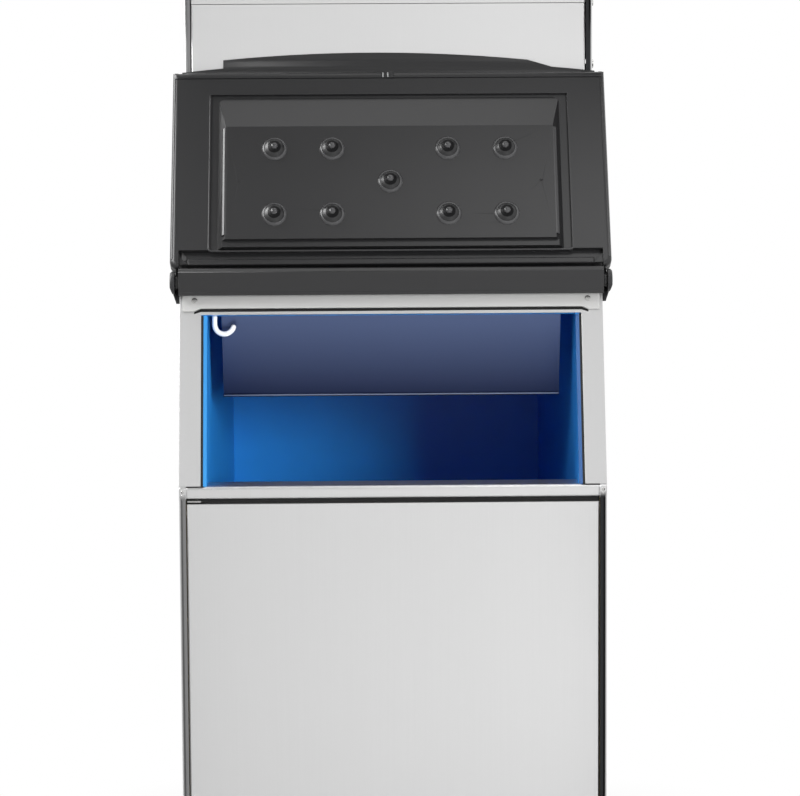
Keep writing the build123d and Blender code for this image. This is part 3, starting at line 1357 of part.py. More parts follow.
upper -= block(
    ROCKER_X - ROCKER_HALF - 4, ROCKER_X + ROCKER_HALF + 4, head(-1), head(2),
    CONTROL_Z - 16, CONTROL_Z + 16,
)
for x in BUTTON_X:
    upper -= along_y(x, CONTROL_Z, head(-1), head(2), BUTTON_RADIUS + 3)
parts["head_front_upper"] = upper
parts["control_fascia"] = control_fascia()
parts["power_rocker"] = power_rocker()
parts["button_down"] = button(BUTTON_X[0])
parts["button_up"] = button(BUTTON_X[1])
parts["control_box"] = control_box()
parts["water_inlet"] = water_inlet()
parts["head_drain"] = head_drain()
parts["power_gland"] = power_gland()

for name, shape in parts.items():
    export_step(shape, f"parts/{name}.step")
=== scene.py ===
# %% [markdown]
# # An ice machine, dressed for the camera
#
# The object is a storage bin with its door thrown open and an ice-making head standing on its deck.
# The CAD model gives every part its exact place, so this script only adds what the eye wants:
# finishes, soft edges, small fittings, a camera and studio light.
# One could also model it all again here, but then the looks and the working model would drift apart.

import json
import math

import bmesh
import bpy
from mathutils import Matrix, Vector


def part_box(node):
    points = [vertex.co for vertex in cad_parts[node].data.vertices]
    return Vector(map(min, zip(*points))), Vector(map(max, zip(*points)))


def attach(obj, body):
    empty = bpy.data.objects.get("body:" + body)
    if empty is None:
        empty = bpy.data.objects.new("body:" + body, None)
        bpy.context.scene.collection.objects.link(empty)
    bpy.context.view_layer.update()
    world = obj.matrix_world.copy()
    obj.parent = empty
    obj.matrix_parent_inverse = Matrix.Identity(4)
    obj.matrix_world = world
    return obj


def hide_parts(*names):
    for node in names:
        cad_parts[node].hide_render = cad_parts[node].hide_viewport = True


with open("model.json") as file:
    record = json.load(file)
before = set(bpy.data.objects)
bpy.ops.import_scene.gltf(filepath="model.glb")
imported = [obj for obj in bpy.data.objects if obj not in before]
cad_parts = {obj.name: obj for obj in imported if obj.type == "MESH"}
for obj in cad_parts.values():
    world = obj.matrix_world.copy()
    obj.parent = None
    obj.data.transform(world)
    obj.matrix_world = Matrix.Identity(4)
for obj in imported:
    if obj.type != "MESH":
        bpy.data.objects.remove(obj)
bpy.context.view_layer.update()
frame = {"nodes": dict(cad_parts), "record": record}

# %% [markdown]
# ## A few helpers for materials
#
# A finish is a small graph of nodes. Building each graph by hand in the editor is fine for one
# finish, but a dozen finishes are easier to compare when each is a few lines of text.
# The helper below adds one node of any kind, sets its values and plugs in its links.

# %% Colours and nodes


def linear(hex_colour):
    """A colour from its sRGB hex value, as the linear numbers that Blender works in."""
    channels = [int(hex_colour[i:i + 2], 16) / 255 for i in (1, 3, 5)]
    return tuple(c / 12.92 if c <= 0.04045 else ((c + 0.055) / 1.055) ** 2.4 for c in channels) + (1.0,)


def add_node(tree, kind, inputs=(), **settings):
    """Adds a node. Inputs are pairs of a socket and either a value or another node's output."""
    node = tree.nodes.new(kind)
    for name, value in settings.items():
        setattr(node, name, value)
    for socket, value in inputs:
        if isinstance(value, bpy.types.NodeSocket):
            tree.links.new(value, node.inputs[socket])
        else:
            node.inputs[socket].default_value = value
    return node


def new_finish(name, **sockets):
    """A material with one Principled shader whose plain sockets are set by their names."""
    material = bpy.data.materials.new(name)
    material.use_nodes = True
    shader = material.node_tree.nodes["Principled BSDF"]
    for socket, value in sockets.items():
        shader.inputs[socket.replace("_", " ")].default_value = value
    return material, material.node_tree, shader


MM = 0.001
finishes = {}

# %% [markdown]
# ## Brushed stainless steel
#
# The cabinet is folded from sheet with a fine brushed grain. Two things make steel look brushed:
# its highlights stretch across the grain, and thin lines of slightly different gloss run along it.
# Real scratches are a tenth of a millimetre apart, too fine for the picture, so the lines here are
# drawn about a millimetre apart. A noise squeezed along one axis gives them. Bump alone would
# sparkle, so the lines work on the roughness most of all.

# %% Stainless finishes
GRAIN = 0.9 * MM
GRAIN_LENGTH = 260 * MM


def stainless(name, colour, roughness, along="x", anisotropic=0.0):
    material, tree, shader = new_finish(name, Metallic=1.0, Anisotropic=anisotropic)
    across, length = 1 / GRAIN, 1 / GRAIN_LENGTH
    scale = (length, across, across) if along == "x" else (across, across, length)
    place = add_node(tree, "ShaderNodeTexCoord")
    stretch = add_node(tree, "ShaderNodeMapping", [("Vector", place.outputs["Object"]), ("Scale", scale)])
    grain = add_node(
        tree, "ShaderNodeTexNoise",
        [("Vector", stretch.outputs["Vector"]), ("Scale", 1.0), ("Detail", 2.0), ("Roughness", 0.6)],
    )
    # Wiping leaves broad, faint clouds of a duller finish on steel that is in use.
    clouds = add_node(
        tree, "ShaderNodeTexNoise",
        [("Vector", place.outputs["Object"]), ("Scale", 3.2), ("Detail", 3.0)],
    )
    gloss = add_node(
        tree, "ShaderNodeMapRange",
        [("Value", grain.outputs["Fac"]), ("To Min", roughness - 0.05), ("To Max", roughness + 0.05)],
    )
    cloudy = add_node(
        tree, "ShaderNodeMapRange",
        [("Value", clouds.outputs["Fac"]), ("To Min", -0.025), ("To Max", 0.025)],
    )
    total = add_node(
        tree, "ShaderNodeMath", [(0, gloss.outputs["Result"]), (1, cloudy.outputs["Result"])],
        operation="ADD",
    )
    tree.links.new(total.outputs["Value"], shader.inputs["Roughness"])
    low = tuple(c * 0.95 for c in linear(colour)[:3]) + (1.0,)
    tint = add_node(
        tree, "ShaderNodeMix",
        [("Factor", grain.outputs["Fac"]), (6, low), (7, linear(colour))],
        data_type="RGBA",
    )
    tree.links.new(tint.outputs[2], shader.inputs["Base Color"])
    bump = add_node(
        tree, "ShaderNodeBump",
        [("Height", grain.outputs["Fac"]), ("Strength", 0.06), ("Distance", 0.02 * MM)],
    )
    tree.links.new(bump.outputs["Normal"], shader.inputs["Normal"])
    finishes[name] = material
    return material


stainless("brushed_stainless", "#DDDDDD", 0.33, along="z")
stainless("bright_rolled_edge", "#DEDEDC", 0.22, along="z")
stainless("galvanised_sheet", "#A9ADB0", 0.42)
stainless("dulled_trim_sheet", "#B6B6B5", 0.5)
stainless("polished_fastener", "#C9C9C7", 0.2)
stainless("hemmed_baffle_edge", "#7C869C", 0.5)

# The strip under the hood has a satin lacquer, which scatters about half of its light.
finishes["dulled_trim_sheet"].node_tree.nodes["Principled BSDF"].inputs["Metallic"].default_value = 0.45

# The sill is rolled, not folded. Its edges turn over four millimetres, which the Bevel
# node shows without new geometry: it rounds the surface directions near an edge.
ROLL_RADIUS = 4 * MM
rolled = stainless("rolled_stainless", "#DDDDDD", 0.3, along="z").node_tree
turned = add_node(rolled, "ShaderNodeBevel", [("Radius", ROLL_RADIUS)], samples=6)
bump = next(node for node in rolled.nodes if node.bl_idname == "ShaderNodeBump")
rolled.links.new(turned.outputs["Normal"], bump.inputs["Normal"])


# The trays' rolled front edges are too narrow for the render to resolve their dark reflections, so a
# ramp across Object X and Y darkens just that strip: more on the right, less on the left.
def darken_front_edge(name, part):
    shader = finishes[name].node_tree.nodes["Principled BSDF"]
    tree = finishes[name].node_tree
    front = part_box(part)[0].y
    plain = shader.inputs["Base Color"].links[0].from_socket
    place = add_node(tree, "ShaderNodeTexCoord")
    split = add_node(tree, "ShaderNodeSeparateXYZ", [("Vector", place.outputs["Object"])])
    near = add_node(
        tree, "ShaderNodeMapRange",
        [("Value", split.outputs["Y"]), ("From Min", front + 0.5 * MM), ("From Max", front + 2 * MM),
         ("To Min", 1.0), ("To Max", 0.0)],
    )
    sides = add_node(
        tree, "ShaderNodeMapRange",
        [("Value", split.outputs["X"]), ("From Min", -0.27), ("From Max", 0.27), ("To Min", 0.66), ("To Max", 0.985)],
    )
    amount = add_node(
        tree, "ShaderNodeMath", [(0, near.outputs["Result"]), (1, sides.outputs["Result"])], operation="MULTIPLY"
    )
    edge = add_node(
        tree, "ShaderNodeMix", [("Factor", amount.outputs["Value"]), (6, plain), (7, linear("#2A2B2D"))],
        data_type="RGBA",
    )
    tree.links.new(edge.outputs[2], shader.inputs["Base Color"])


stainless("rolled_tray_bin", "#DDDDDD", 0.33, along="z")
stainless("rolled_tray_head", "#DDDDDD", 0.33, along="z")
darken_front_edge("rolled_tray_bin", "bin_side_left")
darken_front_edge("rolled_tray_head", "head_side_left")
print("steel finishes:", len(finishes))

# %% [markdown]
# ## The satin deflector plate
#
# The plate that hangs behind the opening is a duller, bluish sheet. It mirrors the dark bin below
# it, and a rough metal loses most of that in a render, so its colour also falls off towards the
# hem. A gradient on the Object coordinates does it, and stays on the plate from every side.

# %% Deflector finish
BAFFLE_LOW, BAFFLE_HIGH = (corner.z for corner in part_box("ice_baffle"))
baffle = stainless("satin_baffle_sheet", "#5E6B8C", 0.45)
tree = baffle.node_tree
place = add_node(tree, "ShaderNodeTexCoord")
split = add_node(tree, "ShaderNodeSeparateXYZ", [("Vector", place.outputs["Object"])])
rise = add_node(
    tree, "ShaderNodeMapRange",
    [("Value", split.outputs["Z"]), ("From Min", BAFFLE_LOW), ("From Max", BAFFLE_HIGH)],
)
fall_off = add_node(
    tree, "ShaderNodeMix",
    [("Factor", rise.outputs["Result"]), (6, linear("#2B3350")), (7, linear("#65749A"))],
    data_type="RGBA",
)
tree.links.new(fall_off.outputs[2], tree.nodes["Principled BSDF"].inputs["Base Color"])

# %% [markdown]
# ## Moulded plastics
#
# The door is a dark moulding with a semi-gloss skin, the liner is rotationally moulded blue
# polyethylene, and the feet and fan are plain black. A moulding copies its tool, so its surface
# has a very soft ripple (a few centimetres wide) and a fine orange-peel (about a millimetre).
# Both are bump. The ripple is what makes a long highlight waver, as it does on real plastic.

# %% Plastic finishes


def moulding(name, colour, roughness, ripple=0.3, peel=0.15, coat=0.0, speckle=0.06, subsurface=0.0):
    material, tree, shader = new_finish(name, IOR=1.49, Coat_Weight=coat, Subsurface_Weight=subsurface)
    shader.inputs["Coat Roughness"].default_value = 0.12
    place = add_node(tree, "ShaderNodeTexCoord")
    wide = add_node(
        tree, "ShaderNodeTexNoise",
        [("Vector", place.outputs["Object"]), ("Scale", 1 / (45 * MM)), ("Detail", 1.0)],
    )
    fine = add_node(
        tree, "ShaderNodeTexNoise",
        [("Vector", place.outputs["Object"]), ("Scale", 1 / (1.4 * MM)), ("Detail", 2.0)],
    )
    soft = add_node(
        tree, "ShaderNodeBump",
        [("Height", wide.outputs["Fac"]), ("Strength", ripple), ("Distance", 0.4 * MM)],
    )
    skin = add_node(
        tree, "ShaderNodeBump",
        [("Height", fine.outputs["Fac"]), ("Strength", peel), ("Distance", 0.03 * MM),
         ("Normal", soft.outputs["Normal"])],
    )
    tree.links.new(skin.outputs["Normal"], shader.inputs["Normal"])
    dark = tuple(c * (1 - speckle) for c in linear(colour)[:3]) + (1.0,)
    tint = add_node(
        tree, "ShaderNodeMix", [("Factor", wide.outputs["Fac"]), (6, dark), (7, linear(colour))],
        data_type="RGBA",
    )
    tree.links.new(tint.outputs[2], shader.inputs["Base Color"])
    gloss = add_node(
        tree, "ShaderNodeMapRange",
        [("Value", fine.outputs["Fac"]), ("To Min", roughness - 0.04), ("To Max", roughness + 0.04)],
    )
    tree.links.new(gloss.outputs["Result"], shader.inputs["Roughness"])
    finishes[name] = material
    return material


moulding("dark_door_moulding", "#1A1A1B", 0.34, ripple=0.25)
moulding("blue_polyethylene", "#2C93E8", 0.38, ripple=0.5, speckle=0.1)
moulding("blue_moulded_rim", "#2F84C4", 0.45, ripple=0.2, speckle=0.1)
# A darker copy of the rim's blue: painted shade for the right flare, which lies in its post's shade.
moulding("deep_blue_rim", "#1D4F88", 0.5, ripple=0.2, speckle=0.1)
moulding("glossy_moulded_radius", "#2B2B2C", 0.24, ripple=0.1, peel=0.05)
rubber = moulding("bumper_rubber", "#080809", 0.5, ripple=0.1)
rubber.node_tree.nodes["Principled BSDF"].inputs["Specular IOR Level"].default_value = 0.15
moulding("bumper_ring", "#3C3C3D", 0.2, ripple=0.1, peel=0.05)
moulding("grey_catch_plastic", "#8B8C8C", 0.4)
moulding("grey_hinge_moulding", "#1C1C1E", 0.4)
moulding("black_moulding", "#121213", 0.45)
moulding("white_dipped_wire", "#E9EAEC", 0.3, ripple=0.05)
moulding("natural_polyethylene", "#DDE0E0", 0.4)
moulding("cream_foam", "#D8C79B", 0.85, peel=1.0, speckle=0.3)
moulding("black_enamel", "#0E0F10", 0.22, coat=0.6)
moulding("black_rubber", "#0B0B0B", 0.7)
print("finishes so far:", len(finishes))

# %% [markdown]
# ## Copper, brass, nickel and aluminium
#
# The metals inside the head are bare. Copper darkens where hands and heat have been, which a large
# noise between two colours gives. A painted look would need a second shader; bare metal doesn't.

# %% Bare metal finishes


def bare_metal(name, colour, dull, roughness):
    material, tree, shader = new_finish(name, Metallic=1.0)
    place = add_node(tree, "ShaderNodeTexCoord")
    patches = add_node(
        tree, "ShaderNodeTexNoise",
        [("Vector", place.outputs["Object"]), ("Scale", 1 / (30 * MM)), ("Detail", 4.0)],
    )
    tint = add_node(
        tree, "ShaderNodeMix",
        [("Factor", patches.outputs["Fac"]), (6, linear(colour)), (7, linear(dull))],
        data_type="RGBA",
    )
    tree.links.new(tint.outputs[2], shader.inputs["Base Color"])
    gloss = add_node(
        tree, "ShaderNodeMapRange",
        [("Value", patches.outputs["Fac"]), ("To Min", roughness - 0.06), ("To Max", roughness + 0.1)],
    )
    tree.links.new(gloss.outputs["Result"], shader.inputs["Roughness"])
    finishes[name] = material
    return material


bare_metal("drawn_copper", "#D98B62", "#8F5235", 0.25)
bare_metal("turned_brass", "#D4B36A", "#A98645", 0.25)
bare_metal("nickel_plate", "#D2CDC2", "#B9B3A6", 0.22)
bare_metal("pressed_aluminium", "#CDD0D3", "#B4B7BA", 0.35)

# %% [markdown]
# ## Giving each CAD part its finish
#
# The CAD parts keep their exact shapes, and only their material changes. The record names a
# material slot for each part, so one list from slot to finish dresses them all at once.

# %% Dress the CAD parts
SLOT_FINISH = {
    "stainless": "brushed_stainless",
    "galvanised": "galvanised_sheet",
    "baffle_metal": "satin_baffle_sheet",
    "bright_steel": "polished_fastener",
    "hinge_grey": "grey_hinge_moulding",
    "blue_liner": "blue_polyethylene",
    "foam": "cream_foam",
    "dark_moulding": "dark_door_moulding",
    "hook_wire": "white_dipped_wire",
    "light_plastic": "natural_polyethylene",
    "black_plastic": "black_moulding",
    "tinned": "nickel_plate",
    "copper": "drawn_copper",
    "black_enamel": "black_enamel",
    "rubber": "black_rubber",
    "fins": "pressed_aluminium",
    "brass": "turned_brass",
}
for part in frame["record"]["subparts"]:
    mesh = frame["nodes"][part["node"]].data
    mesh.materials.clear()
    mesh.materials.append(finishes[SLOT_FINISH[part["material_slot"]]])
OWN_FINISH = {
    "header_trim": "dulled_trim_sheet", "bin_sill": "rolled_stainless",
    "bin_side_left": "rolled_tray_bin", "bin_side_right": "rolled_tray_bin",
    "head_side_left": "rolled_tray_head", "head_side_right": "rolled_tray_head",
}
for name, finish in OWN_FINISH.items():
    frame["nodes"][name].data.materials[0] = finishes[finish]
print("dressed", len(frame["nodes"]), "CAD parts")

# %% [markdown]
# ## Soft edges on the folded sheet
#
# No real edge is knife-sharp: a folded sheet or a moulding turns over a small radius, and that thin
# strip catches the light. The CAD parts have their large radii already, so a Bevel modifier adds
# only the last half millimetre. The CAD meshes are loose triangles, so their points are welded
# first, and only edges that turn by more than 35 degrees are touched. The sill is rolled already,
# and a bevel would only throw spikes off its thin rims, so it stays as it is.

# %% Small edge radii
EDGE_RADII = {
    0.9 * MM: ["bin_front_panel", "head_front_lower", "head_front_upper", "header_trim"],
    0.6 * MM: ["head_side_left", "head_side_right", "bin_side_left", "bin_side_right", "head_top"],
    0.7 * MM: ["door_outer_shell", "hinge_hood", "hinge_bracket_left", "hinge_bracket_right"],
    0.5 * MM: ["opening_frame", "ice_baffle", "door_inner_panel"],
}


def soften(part, radius):
    weld = part.modifiers.new("weld", "WELD")
    weld.merge_threshold = 0.01 * MM
    bevel = part.modifiers.new("edge_radius", "BEVEL")
    bevel.width = radius
    bevel.segments = 2
    bevel.limit_method = "ANGLE"
    bevel.angle_limit = math.radians(35)
    bevel.use_clamp_overlap = True
    bevel.harden_normals = True


for radius, names in EDGE_RADII.items():
    for name in names:
        soften(frame["nodes"][name], radius)
print("softened:", sum(len(names) for names in EDGE_RADII.values()), "parts")

# %% [markdown]
# ## Working on a leaning panel
#
# The door and the bin's mouth lean back, and fittings on them are easiest to place in the panel's
# own directions: across, up along the face, and straight out of it. One matrix for each panel turns
# such places into the object's frame. It is applied to the mesh, so each object stays unturned.

# %% Panels and small builders
DOOR_LEAN = math.radians(25.7)
MOUTH_SLANT = math.radians(15.7)
SHEET = 1.2


def leaning_panel(origin, lean):
    """The frame of a panel that leans back: X across, Y up the face and Z out of it."""
    return Matrix.Translation(origin) @ Matrix.Rotation(math.pi / 2 - lean, 4, "X")


hinge = next(j for j in frame["record"]["behaviour"]["joints"] if j["name"] == "door_hinge")
sill_low, sill_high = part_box("bin_sill")
door_panel = leaning_panel(Vector(hinge["pos_m"]), DOOR_LEAN)
mouth_panel = leaning_panel(Vector((0, sill_low.y, sill_high.z - SHEET * MM)), MOUTH_SLANT)


def to_mesh(shape, name, smooth=False):
    """Closes a bmesh: its faces point outwards, and its points go from millimetres to metres."""
    bmesh.ops.recalc_face_normals(shape, faces=shape.faces)
    bmesh.ops.scale(shape, vec=(MM, MM, MM), verts=shape.verts)
    for face in shape.faces:
        face.smooth = smooth
    mesh = bpy.data.meshes.new(name)
    shape.to_mesh(mesh)
    shape.free()
    return mesh


def loft(name, sections):
    """Joins closed outlines, one after another, into a closed solid."""
    shape = bmesh.new()
    rings = [[shape.verts.new(point) for point in section] for section in sections]
    for first, second in zip(rings, rings[1:]):
        for i in range(len(first)):
            j = (i + 1) % len(first)
            shape.faces.new((first[i], first[j], second[j], second[i]))
    shape.faces.new(rings[0])
    shape.faces.new(rings[-1])
    return to_mesh(shape, name)


def add_piece(name, mesh, finish, body, place=Matrix()):
    """Puts a mesh at its place and lets it ride with a body of the machine."""
    mesh.transform(place)
    mesh.materials.clear()
    mesh.materials.append(finishes[finish])
    piece = bpy.data.objects.new(name, mesh)
    bpy.context.scene.collection.objects.link(piece)
    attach(piece, body)
    return piece


def round_edges(piece, radius):
    bevel = piece.modifiers.new("edge_radius", "BEVEL")
    bevel.width = radius * MM
    bevel.segments = 2
    bevel.limit_method = "ANGLE"
    bevel.angle_limit = math.radians(35)


# %% [markdown]
# ## Two node trees for fittings
#
# Domes, rivets and studs repeat, and hems and beads follow a path. Each could be copied by hand,
# but a tree keeps one form and a list of places, so a change of the form reaches all of them.
# The first tree sets a form on points. The second sweeps a round bead along a path and rounds
# its corners. Both end in real geometry with a finish, because instances aren't exported.

# %% Node trees


def new_tree(name, inputs):
    tree = bpy.data.node_groups.new(name, "GeometryNodeTree")
    tree.interface.new_socket("Geometry", in_out="INPUT", socket_type="NodeSocketGeometry")
    tree.interface.new_socket("Geometry", in_out="OUTPUT", socket_type="NodeSocketGeometry")
    for label, kind in inputs:
        tree.interface.new_socket(label, in_out="INPUT", socket_type=kind)
    return tree, add_node(tree, "NodeGroupInput").outputs


def finish_tree(tree, geometry, material):
    solid = add_node(tree, "GeometryNodeRealizeInstances", [("Geometry", geometry)])
    dressed = add_node(
        tree, "GeometryNodeSetMaterial", [("Geometry", solid.outputs["Geometry"]), ("Material", material)]
    )
    add_node(tree, "NodeGroupOutput", [("Geometry", dressed.outputs["Geometry"])])


on_points, given = new_tree(
    "fittings_on_points", [("Form", "NodeSocketObject"), ("Finish", "NodeSocketMaterial")]
)
form = add_node(on_points, "GeometryNodeObjectInfo", [("Object", given["Form"]), ("As Instance", True)])
copies = add_node(
    on_points, "GeometryNodeInstanceOnPoints",
    [("Points", given["Geometry"]), ("Instance", form.outputs["Geometry"])],
)
finish_tree(on_points, copies.outputs["Instances"], given["Finish"])

on_path, given = new_tree(
    "bead_on_path",
    [("Radius", "NodeSocketFloat"), ("Corner", "NodeSocketFloat"), ("Finish", "NodeSocketMaterial")],
)
path = add_node(on_path, "GeometryNodeMeshToCurve", [("Mesh", given["Geometry"])])
path = add_node(
    on_path, "GeometryNodeFilletCurve",
    [("Curve", path.outputs["Curve"]), ("Count", 6), ("Radius", given["Corner"]), ("Limit Radius", True)],
    mode="POLY",
)
ring = add_node(
    on_path, "GeometryNodeCurvePrimitiveCircle", [("Resolution", 14), ("Radius", given["Radius"])]
)
bead = add_node(
    on_path, "GeometryNodeCurveToMesh",
    [("Curve", path.outputs["Curve"]), ("Profile Curve", ring.outputs["Curve"]), ("Fill Caps", True)],
)
finish_tree(on_path, bead.outputs["Mesh"], given["Finish"])


def grow(tree, mesh, settings):
    """Runs a tree on a mesh and gives its result as a plain mesh."""
    holder = bpy.data.objects.new(mesh.name, mesh)
    bpy.context.scene.collection.objects.link(holder)
    modifier = holder.modifiers.new(tree.name, "NODES")
    modifier.node_group = tree
    for item in tree.interface.items_tree:
        if item.in_out == "INPUT" and item.name in settings:
            modifier[item.identifier] = settings[item.name]
    view = bpy.context.evaluated_depsgraph_get()
    result = bpy.data.meshes.new_from_object(holder.evaluated_get(view), depsgraph=view)
    holder.modifiers.clear()
    bpy.data.objects.remove(holder)
    return result


def fittings(name, form_mesh, spots, finish):
    """One form on many spots, given in millimetres."""
    form_object = bpy.data.objects.new("form", form_mesh)
    bpy.context.scene.collection.objects.link(form_object)
    points = bpy.data.meshes.new(name)
    points.from_pydata([Vector(spot) * MM for spot in spots], [], [])
    made = grow(on_points, points, {"Form": form_object, "Finish": finishes[finish]})
    bpy.data.objects.remove(form_object)
    return made


def bead_along(name, points, radius, finish, corner=0.0):
    """A round bead along a path, given in millimetres."""
    line = bpy.data.meshes.new(name)
    line.from_pydata([Vector(p) * MM for p in points], [(i, i + 1) for i in range(len(points) - 1)], [])
    made = grow(on_path, line, {"Radius": radius * MM, "Corner": corner * MM, "Finish": finishes[finish]})
    for face in made.polygons:
        face.use_smooth = len(face.vertices) == 4
    return made


def lathe(name, loops, segments=28):
    """Turns closed outlines of (radius, height) about Z. A radius of 0 closes into a pole."""
    shape = bmesh.new()
    for outline in loops:
        rings = []
        for radius, height in outline:
            count = segments if radius > 0 else 1
            turns = [2 * math.pi * i / count for i in range(count)]
            rings.append(
                [shape.verts.new((radius * math.cos(t), radius * math.sin(t), height)) for t in turns]
            )
        if outline[0][0] > 0:
            rings.append(rings[0])
        for first, second in zip(rings, rings[1:]):
            for i in range(segments):
                j = (i + 1) % segments
                corners = [first[i % len(first)], first[j % len(first)],
                           second[j % len(second)], second[i % len(second)]]
                shape.faces.new(list(dict.fromkeys(corners)))
    return to_mesh(shape, name, smooth=True)


print("trees:", on_points.name, "and", on_path.name)

# %% [markdown]
# ## Bumpers on the door's plug
#
# Nine bumpers stand on the plug. The CAD part has their places and their domes. What the eye reads
# is the glossy ring at the foot of each, which holds a bright arc, and the dark rubber inside it.
# Both are turned shapes, so an outline and a lathe make them, and the tree sets out the nine.

# %% Door bumpers
PLUG_TOP = 20.0
BUMPER_ROWS = (89.3, 185.1)
BUMPER_COLUMNS = (-154.4, -77.4, 77.4, 154.4)
MIDDLE_BUMPER = (0.0, 136.7)
FOOT_RING = [(12.4, -0.4), (17.3, -0.4), (17.0, 0.5), (15.6, 2.5), (14.6, 3.4), (13.6, 3.6), (12.7, 3.1)]
DOME = [(0, 1.0), (13.2, 1.0), (13.2, 2.6), (11.8, 4.6), (9.8, 6.6), (7.8, 8.4), (6.0, 9.6), (4.0, 10.2), (0, 10.3)]
NUB = [(0, 9.4), (4.6, 9.4), (4.6, 10.8), (4.0, 12.2), (2.6, 13.2), (0, 13.5)]
spots = [(x, v, PLUG_TOP) for v in BUMPER_ROWS for x in BUMPER_COLUMNS]
spots.append((*MIDDLE_BUMPER, PLUG_TOP))
for name, outline, finish in (
    ("bumper_rings", FOOT_RING, "bumper_ring"), ("bumper_domes", DOME, "bumper_rubber"),
    ("bumper_nubs", NUB, "bumper_ring"),
):
    mesh = fittings(name, lathe(name + "_form", [outline]), spots, finish)
    add_piece(name, mesh, finish, "door", door_panel)
print("bumpers:", len(spots))

# %% [markdown]
# ## Rounded shoulders of the plug
#
# A vacuum-formed panel has a generous radius wherever it turns: at each side of the plug, round the
# moat and at the door's rim. Each radius holds a long soft highlight on the side that faces the
# light. A bevel on the CAD part would be held down by the part's smallest features, so a bead lies
# along each edge, sunk into the part until only its rounded quarter shows.

# %% Panel radii
GLOSS = "glossy_moulded_radius"
PLUG_HALF, SHOULDER = 219.8, 5.0
MOAT_HALF, MOAT_LOW, MOAT_HIGH, MOAT_EDGE = 241.9, 42.4, 270.0, 1.6
RIM_HALF, RIM_TOP, RIM_EDGE = 289.6, 296.0, 2.2
FLANGE_FACE, SHOW = 8.0, 0.2


def panel_bead(name, points, height, radius, corner=0.0):
    path = [(x, v, height - radius + SHOW) for x, v in points]
    add_piece(name, bead_along(name, path, radius, GLOSS, corner), GLOSS, "door", door_panel)


for side, word in ((-1, "left"), (1, "right")):
    panel_bead("plug_shoulder_" + word, [(side * PLUG_HALF, 60.0), (side * PLUG_HALF, 216.5)], PLUG_TOP, SHOULDER)
    panel_bead("door_rim_" + word, [(side * RIM_HALF, 31.0), (side * RIM_HALF, RIM_TOP)], FLANGE_FACE - 0.5, RIM_EDGE)
panel_bead(
    "moat_edge",
    [(-MOAT_HALF, MOAT_HIGH), (-MOAT_HALF, MOAT_LOW), (MOAT_HALF, MOAT_LOW), (MOAT_HALF, MOAT_HIGH)],
    FLANGE_FACE, MOAT_EDGE, corner=4.0,
)

# A small web stiffens the panel's lower left corner.
gusset = loft(
    "corner_web",
    [[(-277.5, 28.0, -7.0), (-264.5, 35.0, -7.0), (-277.5, 45.0, -7.0)],
     [(-277.5, 29.0, 1.5), (-268.0, 35.5, -3.0), (-277.5, 44.0, 1.5)]],
)
add_piece("corner_web", gusset, GLOSS, "door", door_panel)

# %% [markdown]
# ## The catch at the door's top edge
#
# A small catch sits in the middle of the top edge: a black block with two bright tongues. It is
# three small solids with softened edges, each a loft of one outline.

# %% Door catch
FACE = 8.0


def small_block(name, x0, x1, v0, v1, w0, w1):
    return loft(name, [[(x0, v0, w), (x1, v0, w), (x1, v1, w), (x0, v1, w)] for w in (w0, w1)])


catch = add_piece(
    "catch_block", small_block("catch_block", -2.4, 6.4, 297.0, 306.4, FACE - 3.0, FACE + 0.9),
    "black_moulding", "door", door_panel,
)
round_edges(catch, 0.5)
for name, x in (("catch_tongue_left", -8.0), ("catch_tongue_right", -1.5)):
    tongue = add_piece(
        name, small_block(name, x - 0.9, x + 0.9, 297.8, 304.6, FACE - 0.5, FACE + 1.7),
        "grey_catch_plastic", "door", door_panel,
    )
    round_edges(tongue, 0.4)

# %% [markdown]
# ## The bin's mouth
#
# Where the blue liner meets the steel posts there is a thin black gasket, and the liner's rim
# flares out to it. The right flare lies in the shade of its post, and that shade is painted in
# as a darker blue. All are straight strips with a sloped face, each a loft of one outline from the sill to the top
# rail.

# %% Gaskets and flared rim
MOUTH_HALF, LINER_HALF = 251.45, 243.9
MOUTH_LOW, MOUTH_TOP = 1.5, 229.5
SEAT = -3.98
NARROW_GASKET = 3.1


def mouth_strip(name, x0, w0, x1, w1, finish):
    """A strip up the mouth's side. Its face slopes from depth w0 at x0 to depth w1 at x1."""
    outline = [(x0, w0), (x1, w1), (x1, SEAT), (x0, SEAT)]
    mesh = loft(name, [[(x, v, w) for x, w in outline] for v in (MOUTH_LOW, MOUTH_TOP)])
    return add_piece(name, mesh, finish, "cabinet", mouth_panel)


step = -MOUTH_HALF + NARROW_GASKET
mouth_strip("gasket_left", -MOUTH_HALF, -0.5, step, -0.9, "black_rubber")
mouth_strip("liner_flare_left", step, -0.9, -LINER_HALF, -3.6, "blue_moulded_rim")
mouth_strip("gasket_right", MOUTH_HALF, -0.5, -step, -0.9, "black_rubber")
# The right flare gets the darker rim blue, a painted shade from its post.
mouth_strip("liner_flare_right", -step, -0.9, LINER_HALF, -3.6, "deep_blue_rim")
print("mouth:", 2 * MOUTH_HALF, "mm wide")

# %% [markdown]
# ## The deflector's hem
#
# The lower edge of the hanging plate is folded back on itself, which leaves a round hem.
# A bead along the edge gives it.

# %% Hem
BAFFLE_HALF = 225.5
HEM_RADIUS = 1.4
HEM_Y, HEM_Z = -305.2, 791.8
hem = bead_along(
    "deflector_hem", [(-BAFFLE_HALF, HEM_Y, HEM_Z), (BAFFLE_HALF, HEM_Y, HEM_Z)], HEM_RADIUS,
    "hemmed_baffle_edge",
)
add_piece("deflector_hem", hem, "hemmed_baffle_edge", "cabinet")

# %% [markdown]
# ## The scoop hook
#
# The hook is one wire, dipped in white plastic: straight down, round in a wide bend, and up to a
# rounded tip. A curve with a round section follows it exactly. Its points on the bend come from a
# circle, and the last points get thinner along a quarter circle, so that the tip is round.

